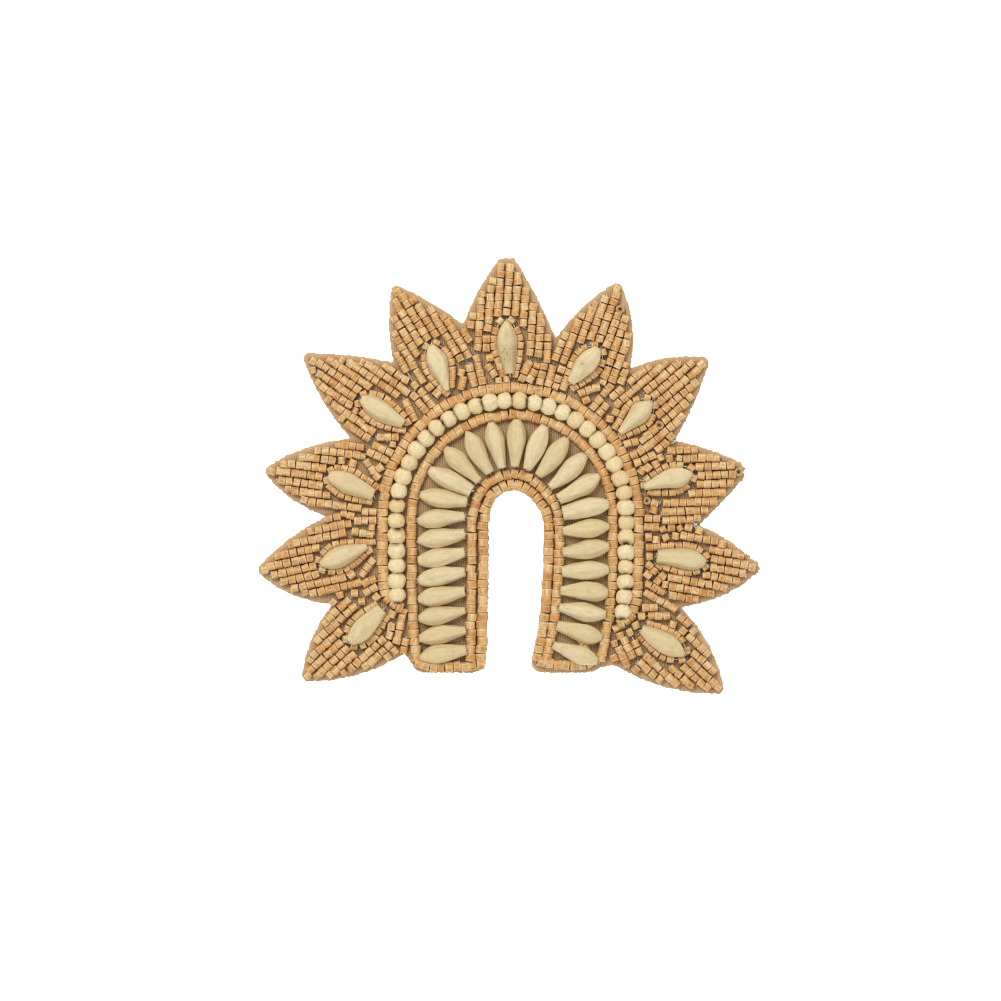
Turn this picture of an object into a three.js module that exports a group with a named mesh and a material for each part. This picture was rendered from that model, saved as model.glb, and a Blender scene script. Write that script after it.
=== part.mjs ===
// Beaded wood applique: a cloth cut-out, an arch with eleven petals, sewn all over with wooden beads.
// Millimetres, +Z up through the beads. It lies flat with the underside of its cloth at z = 0, and
// X and Y are measured from the middle of the cloth. The layout is drawn about the arch centre, the
// middle of the half circles that the rows of beads make over the opening.
import * as THREE from 'three';

// Cloth
const clothThickness = 1.2;
const edgeMargin = 2.2; // cloth edge to the middle of the row beside it
const petalMargin = 0.7; // bare cloth round the beads of a petal
const petalTipWidth = 2.6;

// Opening and legs
const openingRadius = 11.0;
const openingShift = 2.0; // the opening was cut this far to the right of the arch centre
const legLength = 60.0; // arch centre down to the ends of the rows
const leftLegFlare = -1.2; // how far the left leg's inner side bends to the left at its foot
const leftLegTaper = 3.8; // how much narrower the left leg is at its foot
const rightLegBend = -5.6; // how far the right leg bends to the left at its foot
const rightShoulderCut = 2.2; // how much flatter the opening is over its right shoulder

// Small barrel beads
const smallBeadWidth = 3.4;
const smallBeadHeight = 3.4;
const smallBeadPitch = 3.25;
const rowBeadRidge = 0.56; // share of a bead's length at full height
const petalBeadRidge = 0; // the many beads of a petal come to a point
const smallBeadGroove = 1.7; // height of the groove where two beads meet
const strandPitch = 3.6;
const strandsEachSide = 5;
const footTurn = 0.2; // radians that an edge turns before its wall gets a corner

// Round beads
const roundBeadDiameter = 6.1;
const roundBeadPitch = 6.0;
const roundBeadWaist = 0.42; // share of the radius where two beads touch
const roundRowLeftDrop = 32.0;
const roundRowRightDrop = 38.6;
const hookTurn = 120; // degrees that the outer border row turns in under the last round bead

// Marquise beads
const marquiseWidth = 7.6;
const archMarquiseLength = 18.8;
const archMarquiseCount = 26;
const petalMarquiseWidth = 8.2;
const marquiseEnd = 0.28; // share of the width at the blunt ends
const marquiseShoulder = 0.8; // share of the width halfway to an end
const endPocket = 2.2; // free room off each end of a marquise bead
const bandSlip = 2.8; // the top of the fan sits this far round towards the left leg
const bandTilts = [8, 11, 0, 0, 8, -9]; // degrees that the beads lean, at even steps along the band

// Clearances
const beadClearance = 0.3; // between two beads sewn side by side
const footClearance = 0.7; // between the ends of the rows and the row across a foot
const sewingGap = 0.3; // thread between the cloth and a bead
const openingRowStep = 4.3;
const innerRoundGap = 0.9;
const outerRoundGap = 0.5;

// Petals
const petalReach = 51.8; // middle of the outer border row out to a petal's tip
const notchReach = 24.3; // and to the notch between two petals
const petalMarquiseReach = 15.3; // and to the middle of a petal's marquise bead
const petalMarquiseLength = 19.3;

// The petals in order round the arch, left foot to right foot, each cut and sewn by hand. tip, valley
// and bead are angles in degrees about the arch centre, and how much further out than the reach above
// they are. valley is the notch after the petal, bulge is how far its two sides swell, turn is the way
// its marquise bead points and longer is how much longer that bead is than the length above.
const petals = [
  {
    tip: [218.2, 2.9], valley: [206.4, 4.5], bulge: [3.2, 2.2],
    bead: [217.3, 6.4], turn: 226, longer: -0.9,
  },
  {
    tip: [192.3, 0.6], valley: [180.3, -1.5], bulge: [2.8, 1.7],
    bead: [193.5, 2.3], turn: 201, longer: 0.6,
  },
  {
    tip: [169.6, -3.0], valley: [154.4, -4.1], bulge: [2.4, 2.2],
    bead: [169.2, -1.5], turn: 157, longer: 0.2,
  },
  {
    tip: [142.3, 1.6], valley: [127.6, 1.8], bulge: [1.9, 0.9],
    bead: [141.3, -0.3], turn: 149, longer: 0.3,
  },
  {
    tip: [117.1, -0.1], valley: [104.1, 3.3], bulge: [1.4, 0.9],
    bead: [115.9, -0.9], turn: 110, longer: -0.1,
  },
  {
    tip: [91.0, 0], valley: [76.0, -2.5], bulge: [1.3, 1.0],
    bead: [91.4, 0.6], turn: 94, longer: 1.8,
  },
  {
    tip: [65.2, -0.8], valley: [51.0, 0.2], bulge: [1.7, 2.8],
    bead: [63.9, 0], turn: 51, longer: -1.6,
  },
  {
    tip: [38.5, -2.8], valley: [24.6, -3.4], bulge: [2.0, 1.0],
    bead: [38.4, -3.4], turn: 44, longer: -1.8,
  },
  {
    tip: [11.0, -8.2], valley: [-3.0, -0.2], bulge: [1.0, 0.3],
    bead: [12.7, -2.3], turn: 16, longer: 0.6,
  },
  {
    tip: [-12.3, -1.5], valley: [-28.4, 1.8], bulge: [1.6, 2.6],
    bead: [-14.2, 3.5], turn: -7, longer: 0.1,
  },
  {
    tip: [-39.9, 7.0], valley: null, bulge: [2.9, 3.2],
    bead: [-39.8, 12.4], turn: -32, longer: 0.6,
  },
];
const bluntTips = [6, 9]; // petals, counted from 1, whose tips were cut across
const bluntTipWidth = 5.6;

// Feet, and the corners where the two legs meet the lowest petals
const footDepth = 3.0; // cloth below the ends of the rows
const leftHipOut = 2.1; // from the middle of the inner border row
const leftHipRise = 4.8; // above the ends of the rows
const rightHipOut = 0.9;
const rightHipRise = 0;

// Sizes worked out from those above
const halfSmall = smallBeadWidth / 2;
const edgeRowRadius = openingRadius + edgeMargin;
const secondRowRadius = edgeRowRadius + openingRowStep;
const bandRadius = secondRowRadius + halfSmall + beadClearance + archMarquiseLength / 2;
const innerBorderRadius = bandRadius + archMarquiseLength / 2 + beadClearance + halfSmall;
const roundRowRadius = innerBorderRadius + halfSmall + innerRoundGap + roundBeadDiameter / 2;
const outerBorderRadius = roundRowRadius + roundBeadDiameter / 2 + outerRoundGap + halfSmall;
const hookRadius = roundBeadDiameter / 2 + beadClearance + halfSmall;
const beadFloor = clothThickness + sewingGap;
const footRowLevel = -(legLength + footDepth - edgeMargin);
const bandDrop = -footRowLevel - halfSmall - beadClearance - marquiseWidth / 2;

// Finishes
const cloth = new THREE.MeshStandardMaterial({ color: 0xb9986c, roughness: 0.95, metalness: 0 });
const barrelWood = new THREE.MeshStandardMaterial({ color: 0xd9a566, roughness: 0.7, metalness: 0 });
const paleWood = new THREE.MeshStandardMaterial({ color: 0xdccb9c, roughness: 0.65, metalness: 0 });

const applique = new THREE.Group();

function polar(degrees, radius) {
  const angle = THREE.MathUtils.degToRad(degrees);
  return new THREE.Vector2(Math.cos(angle) * radius, Math.sin(angle) * radius);
}

// A point at an angle about the arch centre, and further out than a reach from the outer border row
function beyondBorder([degrees, further], reach) {
  return polar(degrees, outerBorderRadius + reach + further);
}

// The arch lines: the point at a drop below the arch centre on the left (-1) or right (1) leg
function legPoint(side, radius, drop) {
  const outward = (radius - openingRadius) / (roundRowRadius - openingRadius);
  const sink = (drop / legLength) ** 3;
  const leftBend = leftLegFlare + leftLegTaper * outward;
  const bend = side < 0 ? leftBend : rightLegBend;
  return new THREE.Vector2(openingShift * (1 - outward) + side * radius + bend * sink, -drop);
}

// The opening is flatter over its right shoulder, and the rows round it follow less and less
function shoulderCut(radius, degrees) {
  if (degrees > 90) return 0;
  const outward = (radius - secondRowRadius) / (innerBorderRadius - secondRowRadius);
  const share = 1 - THREE.MathUtils.clamp(outward, 0, 1);
  return rightShoulderCut * share * Math.sin(THREE.MathUtils.degToRad(2 * degrees)) ** 2;
}

// A row's middle line, up the left leg, over the opening and down the right leg
function archLine(radius, leftDrop, rightDrop) {
  const legSteps = 8;
  const topSteps = 24;
  const points = [];
  for (let i = 0; i < legSteps; i += 1) {
    points.push(legPoint(-1, radius, leftDrop * (1 - i / legSteps)));
  }
  const middle = (legPoint(-1, radius, 0).x + legPoint(1, radius, 0).x) / 2;
  for (let i = 0; i <= topSteps; i += 1) {
    const degrees = 180 - (180 * i) / topSteps;
    const cut = shoulderCut(radius, degrees);
    points.push(polar(degrees, radius - cut).add(new THREE.Vector2(middle, 0)));
  }
  for (let i = 1; i <= legSteps; i += 1) {
    points.push(legPoint(1, radius, (rightDrop * i) / legSteps));
  }
  return points;
}

// The short hook that the outer border row makes round the last bead of the round row
function hook(side, drop) {
  const steps = 8;
  const centre = legPoint(side, roundRowRadius, drop);
  const points = [];
  for (let i = 1; i <= steps; i += 1) {
    const turn = (hookTurn * i) / steps;
    const degrees = side < 0 ? 180 + turn : -turn;
    points.push(polar(degrees, hookRadius).add(centre));
  }
  return points;
}

// A side of a petal, from one corner to the next, swelling out in the middle
function petalSide(from, to, bulge) {
  const steps = 4;
  const outward = to.clone().sub(from).normalize().rotateAround(new THREE.Vector2(), Math.PI / 2);
  const swell = from.clone().add(to).multiplyScalar(0.5).addScaledVector(outward, 2 * bulge);
  return new THREE.QuadraticBezierCurve(from, swell, to).getPoints(steps);
}

// The cloth's outline, clockwise from the left foot round the petals and back through the opening
function clothOutline() {
  const footLevel = -(legLength + footDepth);
  const corners = [];
  const hips = [
    new THREE.Vector2(-innerBorderRadius - leftHipOut, leftHipRise - legLength),
    new THREE.Vector2(innerBorderRadius + rightHipOut, rightHipRise - legLength),
  ];
  let valley = hips[0];
  for (const [index, petal] of petals.entries()) {
    const tipWidth = bluntTips.includes(index + 1) ? bluntTipWidth : petalTipWidth;
    const tip = beyondBorder(petal.tip, petalReach);
    const halfTip = new THREE.Vector2(-tip.y, tip.x).setLength(tipWidth / 2);
    const tipStart = tip.clone().add(halfTip);
    const tipEnd = tip.clone().sub(halfTip);
    const next = petal.valley ? beyondBorder(petal.valley, notchReach) : hips[1];
    corners.push(...petalSide(valley, tipStart, petal.bulge[0]));
    corners.push(...petalSide(tipEnd, next, petal.bulge[1]));
    corners.pop();
    valley = next;
  }
  corners.push(hips[1]);
  const rightOuter = legPoint(1, innerBorderRadius, legLength);
  corners.push(new THREE.Vector2(rightOuter.x + edgeMargin, hips[1].y));
  corners.push(new THREE.Vector2(rightOuter.x - edgeMargin, footLevel));
  const edge = archLine(openingRadius, legLength, legLength);
  corners.push(new THREE.Vector2(edge[edge.length - 1].x + edgeMargin, footLevel));
  corners.push(...edge.reverse());
  corners.push(new THREE.Vector2(edge[edge.length - 1].x - edgeMargin, footLevel));
  corners.push(new THREE.Vector2(legPoint(-1, innerBorderRadius, legLength).x, footLevel));
  return corners;
}

function distanceToSegment(point, from, to) {
  const along = to.clone().sub(from);
  const share = THREE.MathUtils.clamp(point.clone().sub(from).dot(along) / along.lengthSq(), 0, 1);
  return point.distanceTo(from.clone().addScaledVector(along, share));
}

function distanceToLine(point, line) {
  let nearest = Infinity;
  for (let i = 1; i < line.length; i += 1) {
    nearest = Math.min(nearest, distanceToSegment(point, line[i - 1], line[i]));
  }
  return nearest;
}

function isInside(point, outline) {
  let inside = false;
  for (let i = 0, j = outline.length - 1; i < outline.length; j = i, i += 1) {
    const a = outline[i];
    const b = outline[j];
    const crosses = a.y > point.y !== b.y > point.y;
    if (crosses && point.x < ((b.x - a.x) * (point.y - a.y)) / (b.y - a.y) + a.x) inside = !inside;
  }
  return inside;
}

function meshOf(positions, triangles) {
  const geometry = new THREE.BufferGeometry();
  geometry.setAttribute('position', new THREE.Float32BufferAttribute(positions, 3));
  geometry.setIndex(triangles);
  const flat = geometry.toNonIndexed();
  flat.computeVertexNormals();
  return flat;
}

// A closed body through rings with the same number of points, each counter-clockwise seen from ahead
function loft(rings) {
  const sides = rings[0].length;
  const positions = rings.flat().flatMap((corner) => corner.toArray());
  const triangles = [];
  for (let i = 0; i + 1 < rings.length; i += 1) {
    for (let k = 0; k < sides; k += 1) {
      const here = i * sides + k;
      const beside = i * sides + ((k + 1) % sides);
      triangles.push(here, beside, here + sides, beside, beside + sides, here + sides);
    }
  }
  const last = (rings.length - 1) * sides;
  for (let k = 1; k + 1 < sides; k += 1) {
    triangles.push(0, k + 1, k, last, last + k, last + k + 1);
  }
  return meshOf(positions, triangles);
}

// A six-sided ring with flats above and below, as wide as it is high
function beadRing(centre, across, radius) {
  const ring = [];
  for (let k = 0; k < 6; k += 1) {
    const angle = (k * Math.PI) / 3;
    const rise = (Math.sin(angle) / Math.sin(Math.PI / 3)) * radius;
    const corner = centre.clone().addScaledVector(across, Math.cos(angle) * radius);
    ring.push(corner.setZ(centre.z + rise));
  }
  return ring;
}

// A spindle along X, about its middle
function marquiseGeometry(length, width) {
  const shares = [marquiseEnd, marquiseShoulder, 1, marquiseShoulder, marquiseEnd];
  const across = new THREE.Vector3(0, 1, 0);
  const rings = shares.map((share, i) => {
    const along = (i / (shares.length - 1) - 0.5) * length;
    return beadRing(new THREE.Vector3(along, 0, 0), across, (share * width) / 2);
  });
  return loft(rings);
}

// Half the plan width of a petal's marquise bead at a distance from its middle
function marquiseHalfWidth(along, length) {
  const share = Math.abs(along) / (length / 2);
  if (share > 1) return 0;
  const inner = share < 0.5;
  const from = inner ? 1 : marquiseShoulder;
  const to = inner ? marquiseShoulder : marquiseEnd;
  return (THREE.MathUtils.lerp(from, to, inner ? share * 2 : share * 2 - 1) * petalMarquiseWidth) / 2;
}

// Places evenly spaced along a line, with the direction there
function walk(line, count) {
  const curve = new THREE.CatmullRomCurve3(line.map((p) => new THREE.Vector3(p.x, p.y, 0)));
  curve.arcLengthDivisions = 8 * line.length;
  const stops = [];
  for (let i = 0; i <= count; i += 1) {
    const at = curve.getPointAt(i / count);
    const ahead = curve.getTangentAt(i / count);
    stops.push({
      at: new THREE.Vector2(at.x, at.y),
      left: new THREE.Vector2(-ahead.y, ahead.x).normalize(),
    });
  }
  return stops;
}

function lineLength(line) {
  let length = 0;
  for (let i = 1; i < line.length; i += 1) length += line[i].distanceTo(line[i - 1]);
  return length;
}

// The closed line that directed edges make, as a list of vertices
function traceLoop(edges) {
  const loop = [];
  let here = edges.keys().next().value;
  while (edges.has(here)) {
    const next = edges.get(here);
    edges.delete(here);
    loop.push(here);
    here = next;
  }
  return loop;
}

// A mat of small beads fused where they touch, i beads along and k strands across. corner(i, k, side)
// is a plan corner: side 0 is seen from the strand below line k and side 1 from the strand above it.
// sewn(i, k) tells whether a bead is there and slit(i, k) whether line k is open between two strands.
// Each bead rises to a ridge, or to a point where ridge is 0, and falls to the groove on all sides.
function beadMat(along, across, ridge, corner, sewn, slit = () => false) {
  const positions = [];
  const triangles = [];
  const seen = new Map();
  const rim = new Map();
  const vertex = (point, z) => {
    const key = [point.x, point.y, z].map((value) => value.toFixed(3)).join(' ');
    if (!seen.has(key)) {
      seen.set(key, positions.length / 3);
      positions.push(point.x, point.y, z);
    }
    return seen.get(key);
  };
  const eave = beadFloor + smallBeadGroove;
  const crown = beadFloor + smallBeadHeight;
  for (let i = 0; i < along; i += 1) {
    for (let k = 0; k < across; k += 1) {
      if (!sewn(i, k)) continue;
      const ring = [corner(i, k, 1), corner(i + 1, k, 1), corner(i + 1, k + 1, 0), corner(i, k + 1, 0)];
      const start = ring[0].clone().lerp(ring[3], 0.5);
      const end = ring[1].clone().lerp(ring[2], 0.5);
      const [a, b, c, d] = ring.map((point) => vertex(point, eave));
      const p = vertex(start.clone().lerp(end, (1 - ridge) / 2), crown);
      const q = vertex(start.clone().lerp(end, (1 + ridge) / 2), crown);
      triangles.push(a, p, d, b, c, q, a, b, q, c, d, p);
      if (ridge > 0) triangles.push(a, q, p, c, p, q);
      if (!sewn(i, k - 1) || slit(i, k)) rim.set(a, b);
      if (!sewn(i + 1, k)) rim.set(b, c);
      if (!sewn(i, k + 1) || slit(i, k + 1)) rim.set(c, d);
      if (!sewn(i - 1, k)) rim.set(d, a);
    }
  }
  addFoot(positions, triangles, traceLoop(rim));
  return meshOf(positions, triangles);
}

// The wall under a mat's rim and its underside. The wall has a corner where the rim turns, and one for
// every few beads where it runs straight.
function addFoot(positions, triangles, rim) {
  const straightRun = 4;
  const plan = (vertex) => new THREE.Vector2(positions[3 * vertex], positions[3 * vertex + 1]);
  const turns = (k) => {
    const here = plan(rim[k]);
    const before = here.clone().sub(plan(rim[(k + rim.length - 1) % rim.length]));
    const after = plan(rim[(k + 1) % rim.length]).sub(here);
    return before.cross(after) ** 2 > (Math.sin(footTurn) * before.length() * after.length()) ** 2;
  };
  const feet = [];
  const addCorner = (vertex) => {
    positions.push(positions[3 * vertex], positions[3 * vertex + 1], beadFloor);
    feet.push(positions.length / 3 - 1);
  };
  const first = rim.findIndex((vertex, k) => turns(k));
  const line = [...rim.slice(first), ...rim.slice(0, first)];
  addCorner(line[0]);
  let run = 0;
  for (let k = 1; k <= line.length; k += 1) {
    const from = line[k - 1];
    const to = line[k % line.length];
    const foot = feet[feet.length - 1];
    triangles.push(from, foot, to);
    run += 1;
    if (k === line.length) {
      triangles.push(foot, feet[0], to);
    } else if (turns((first + k) % rim.length) || run === straightRun) {
      addCorner(to);
      triangles.push(foot, feet[feet.length - 1], to);
      run = 0;
    }
  }
  for (const [a, b, c] of THREE.ShapeUtils.triangulateShape(feet.map(plan), [])) {
    triangles.push(feet[a], feet[c], feet[b]);
  }
}

// One row of small beads along a line
function rowGeometry(line) {
  const count = Math.max(1, Math.round(lineLength(line) / smallBeadPitch));
  const stops = walk(line, count);
  const corner = (i, k) => stops[i].at.clone().addScaledVector(stops[i].left, (k - 0.5) * smallBeadWidth);
  return beadMat(count, 1, rowBeadRidge, corner, (i, k) => i >= 0 && i < count && k === 0);
}

// The pale round beads, touching one another in one row
function roundRowGeometry(line) {
  const profile = [[0, roundBeadWaist], [0.27, 0.95], [0.73, 0.95]];
  const stopsPerBead = 100;
  const count = Math.round(lineLength(line) / roundBeadPitch) + 1;
  const reach = (roundBeadDiameter - roundBeadPitch) / 2;
  const stops = walk(line, (count - 1) * stopsPerBead);
  const rings = [];
  for (let bead = 0; bead < count; bead += 1) {
    for (const [share, size] of bead + 1 < count ? profile : [...profile, [1, roundBeadWaist]]) {
      const place = (bead + share - 0.5) * stopsPerBead;
      const stop = stops[THREE.MathUtils.clamp(Math.round(place), 0, stops.length - 1)];
      const beyond = place < 0 || place > stops.length - 1;
      const ahead = new THREE.Vector2(stop.left.y, -stop.left.x);
      const over = place - THREE.MathUtils.clamp(place, 0, stops.length - 1);
      const step = beyond ? over / stopsPerBead : 0;
      const at = stop.at.clone().addScaledVector(ahead, step * (roundBeadPitch + reach));
      const centre = new THREE.Vector3(at.x, at.y, beadFloor + roundBeadDiameter / 2);
      const left = new THREE.Vector3(stop.left.x, stop.left.y, 0);
      rings.push(beadRing(centre, left, (size * roundBeadDiameter) / 2));
    }
  }
  return loft(rings);
}

// The beads of one petal: strands run from the border row out to the tip and part round the petal's
// marquise bead. A bead is sewn only where it fits on the cloth, clear of the rows and the next petals.
function petalGeometry(petal, before, outline, rowLines) {
  const middle = beyondBorder(petal.bead, petalMarquiseReach);
  const ahead = polar(petal.turn, 1);
  const long = petalMarquiseLength + petal.longer;
  const reach = long / 2 + endPocket;
  const besideCount = Math.round((2 * reach) / smallBeadPitch);
  const rootCount = 4;
  const bendFrom = middle.clone().addScaledVector(ahead, reach);
  const tip = beyondBorder(petal.tip, petalReach);
  const lead = bendFrom.clone().addScaledVector(ahead, 0.4 * bendFrom.distanceTo(tip));
  const bend = new THREE.QuadraticBezierCurve(bendFrom, lead, tip);
  const bendLength = bend.getLength();
  const tipCount = Math.floor(bendLength / smallBeadPitch);
  const along = rootCount + besideCount + tipCount;
  const across = 2 * strandsEachSide;
  const stations = [];
  for (let i = 0; i <= along; i += 1) {
    const beyond = i - rootCount - besideCount;
    const step = i < rootCount ? smallBeadPitch : (2 * reach) / besideCount;
    const place = Math.min((i - rootCount) * step, 2 * reach) - reach;
    const share = (beyond * smallBeadPitch) / bendLength;
    const straight = beyond <= 0;
    const at = straight ? middle.clone().addScaledVector(ahead, place) : bend.getPointAt(share);
    const way = straight ? ahead : bend.getTangentAt(share);
    const beside = marquiseHalfWidth(place, long) || (marquiseEnd * petalMarquiseWidth) / 2;
    const parting = i < rootCount ? beadClearance / 2 : beside + beadClearance;
    stations.push({ at, left: new THREE.Vector2(-way.y, way.x), parting: beyond < 0 ? parting : 0 });
  }
  const corner = (i, k, side) => {
    const station = stations[i];
    const strand = k - strandsEachSide;
    const way = strand === 0 ? side * 2 - 1 : Math.sign(strand);
    const offset = strand * strandPitch + way * station.parting;
    return station.at.clone().addScaledVector(station.left, offset);
  };
  const fits = (point) => {
    if (!isInside(point, outline) || distanceToLine(point, outline) < petalMargin) return false;
    if (petal.valley && polar(petal.valley[0], 1).cross(point) < beadClearance / 2) return false;
    if (before && polar(before.valley[0], 1).cross(point) > -beadClearance / 2) return false;
    return rowLines.every(([line, half]) => distanceToLine(point, line) > half + beadClearance);
  };
  const beads = new Set();
  const name = (i, k) => `${i} ${k}`;
  const sewn = (i, k) => beads.has(name(i, k));
  const slit = (i, k) => k === strandsEachSide && i < rootCount + besideCount;
  for (let i = 0; i < along; i += 1) {
    for (let k = 0; k < across; k += 1) {
      const ring = [corner(i, k, 1), corner(i + 1, k, 1), corner(i + 1, k + 1, 0), corner(i, k + 1, 0)];
      if (ring.every(fits)) beads.add(name(i, k));
    }
  }
  dropCornerTouches(beads, sewn, along, across);
  keepTogether(beads, sewn, slit, rootCount + besideCount, strandsEachSide);
  return beadMat(along, across, petalBeadRidge, corner, sewn, slit);
}

// A bead that meets its neighbours only at a corner isn't held, so it is left out
function dropCornerTouches(beads, sewn, along, across) {
  for (let i = 1; i < along; i += 1) {
    for (let k = 1; k < across; k += 1) {
      const rising = sewn(i - 1, k - 1) && sewn(i, k) && !sewn(i - 1, k) && !sewn(i, k - 1);
      const falling = sewn(i - 1, k) && sewn(i, k - 1) && !sewn(i - 1, k - 1) && !sewn(i, k);
      if (rising) beads.delete(`${i} ${k}`);
      if (falling) beads.delete(`${i} ${k - 1}`);
    }
  }
}

// Only the beads that hang together with the one off the tip of the marquise bead are kept
function keepTogether(beads, sewn, slit, startAlong, startAcross) {
  const held = new Set();
  const queue = [[startAlong, startAcross]];
  while (queue.length) {
    const [i, k] = queue.pop();
    if (!sewn(i, k) || held.has(`${i} ${k}`)) continue;
    held.add(`${i} ${k}`);
    queue.push([i - 1, k], [i + 1, k]);
    if (!slit(i, k)) queue.push([i, k - 1]);
    if (!slit(i, k + 1)) queue.push([i, k + 1]);
  }
  for (const bead of [...beads]) if (!held.has(bead)) beads.delete(bead);
}

function add(name, geometry, finish) {
  const mesh = new THREE.Mesh(geometry, finish);
  mesh.name = name;
  applique.add(mesh);
  return mesh;
}

function numbered(name, index) {
  return `${name}_${String(index + 1).padStart(2, '0')}`;
}

// Cloth, moved so that its middle is the origin
const outline = clothOutline();
const box = new THREE.Box2().setFromPoints(outline);
const centre = box.getCenter(new THREE.Vector2());
applique.position.set(-centre.x, -centre.y, 0);
const clothShape = new THREE.Shape(outline);
add('fabric_backing', new THREE.ExtrudeGeometry(clothShape, {
  depth: clothThickness,
  bevelEnabled: false,
}), cloth);

// Rows round the arch
const rowDrop = -footRowLevel - halfSmall - footClearance;
const outerRow = [
  ...hook(-1, roundRowLeftDrop).reverse(),
  ...archLine(outerBorderRadius, roundRowLeftDrop, roundRowRightDrop),
  ...hook(1, roundRowRightDrop),
];
const innerRow = archLine(innerBorderRadius, rowDrop, rowDrop);
const roundRow = archLine(roundRowRadius, roundRowLeftDrop, roundRowRightDrop);
const edgeRow = archLine(edgeRowRadius, rowDrop, rowDrop);
const footRow = (side) => {
  const reach = innerBorderRadius + halfSmall;
  const ends = [legPoint(side, reach, rowDrop).x, legPoint(side, edgeRowRadius - halfSmall, rowDrop).x];
  ends.sort((a, b) => a - b);
  return ends.map((x) => new THREE.Vector2(x, footRowLevel));
};
add('outer_border_row', rowGeometry(outerRow), barrelWood);
add('inner_border_row', rowGeometry(innerRow), barrelWood);
add('opening_second_row', rowGeometry(archLine(secondRowRadius, rowDrop, rowDrop)), barrelWood);
add('opening_edge_row', rowGeometry(edgeRow), barrelWood);
add('left_foot_row', rowGeometry(footRow(-1)), barrelWood);
add('right_foot_row', rowGeometry(footRow(1)), barrelWood);
add('round_bead_row', roundRowGeometry(roundRow), paleWood);

// Marquise beads across the arch band
const archMarquise = marquiseGeometry(archMarquiseLength, marquiseWidth);
const bandLine = archLine(bandRadius, bandDrop, bandDrop);
const bandSteps = 2000;
const bandStops = walk(bandLine, bandSteps);
for (let index = 0; index < archMarquiseCount; index += 1) {
  const even = index / (archMarquiseCount - 1);
  const slip = (bandSlip / lineLength(bandLine)) * Math.sin(Math.PI * even);
  const stop = bandStops[Math.round((even - slip) * bandSteps)];
  const stage = even * (bandTilts.length - 1);
  const from = Math.min(Math.floor(stage), bandTilts.length - 2);
  const lean = THREE.MathUtils.lerp(bandTilts[from], bandTilts[from + 1], stage - from);
  const mesh = add(numbered('arch_bead', index), archMarquise, paleWood);
  mesh.position.set(stop.at.x, stop.at.y, beadFloor + marquiseWidth / 2);
  mesh.rotation.z = stop.left.angle() + THREE.MathUtils.degToRad(lean);
}

// Petals
const rowLines = [
  [outerRow, halfSmall],
  [innerRow, halfSmall],
  [roundRow, roundBeadDiameter / 2],
  [footRow(-1), halfSmall],
  [footRow(1), halfSmall],
];
petals.forEach((petal, index) => {
  const marquise = marquiseGeometry(petalMarquiseLength + petal.longer, petalMarquiseWidth);
  const bead = add(numbered('petal_bead', index), marquise, paleWood);
  const middle = beyondBorder(petal.bead, petalMarquiseReach);
  bead.position.set(middle.x, middle.y, beadFloor + petalMarquiseWidth / 2);
  bead.rotation.z = THREE.MathUtils.degToRad(petal.turn);
  const field = petalGeometry(petal, petals[index - 1], outline, rowLines);
  add(numbered('petal_small_beads', index), field, barrelWood);
});

export default applique;
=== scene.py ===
"""A beaded wood applique: an arch with eleven petals, cut from ribbed cloth and sewn all over.

Everything is measured in millimetres on the cloth's own plan and written to the meshes in metres. Plan
places are complex numbers, with x to the right and y towards the top petal.
"""

import logging
import math
import random
from dataclasses import dataclass, field
from enum import Enum
from typing import Any

import bpy
import numpy as np
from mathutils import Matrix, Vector, noise
from mathutils.geometry import delaunay_2d_cdt

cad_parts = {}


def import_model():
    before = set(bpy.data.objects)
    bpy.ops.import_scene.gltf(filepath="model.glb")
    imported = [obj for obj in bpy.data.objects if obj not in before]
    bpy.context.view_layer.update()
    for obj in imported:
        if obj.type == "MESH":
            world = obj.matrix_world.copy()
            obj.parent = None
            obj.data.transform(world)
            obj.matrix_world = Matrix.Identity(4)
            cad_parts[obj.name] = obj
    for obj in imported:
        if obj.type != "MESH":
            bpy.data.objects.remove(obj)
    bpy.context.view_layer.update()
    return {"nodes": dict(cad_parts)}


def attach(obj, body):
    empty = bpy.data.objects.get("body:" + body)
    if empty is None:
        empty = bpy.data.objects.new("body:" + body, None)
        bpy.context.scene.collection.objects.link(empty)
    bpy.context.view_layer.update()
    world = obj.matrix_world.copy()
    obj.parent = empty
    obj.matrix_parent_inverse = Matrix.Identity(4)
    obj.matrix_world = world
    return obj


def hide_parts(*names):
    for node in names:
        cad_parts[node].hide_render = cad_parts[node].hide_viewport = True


MM = 0.001
ARCH_CENTRE = complex(1.026, -15.721)
CLOTH_TOP = 1.2
# Where the outer two petals end at the legs, from the arch's centre
HIPS = (-37.5 - 60.0j, 37.0 - 62.0j)
# How far from the arch's centre the petals' valley strands start
BORDER_REACH = 54.6
# A whole turn for the nodes' waves, in radians
FULL_TURN = 6.283

Line = list[tuple[float, float, float]]
Tint = tuple[int, int, int]

log = logging.getLogger("applique")


def dot(first: complex, second: complex) -> float:
    """Scalar product of two plan vectors."""
    return (first * second.conjugate()).real


def unit(vector: complex) -> complex:
    """The plan vector at length one."""
    return vector / abs(vector)


def turned(angle: float) -> complex:
    """The plan vector of length one at an angle in radians from x."""
    return complex(math.cos(angle), math.sin(angle))


def raised(place: complex, height: float) -> tuple[float, float, float]:
    """The point at a height over a plan place."""
    return (place.real, place.imag, height)


def divided(outline: list[complex], step: float) -> list[complex]:
    """A closed outline with its sides cut into equal pieces of about one step."""
    rim: list[complex] = []
    for start, end in zip(outline, outline[1:] + outline[:1]):
        pieces = max(1, round(abs(end - start) / step))
        rim += [start + (end - start) * i / pieces for i in range(pieces)]
    return rim


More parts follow.
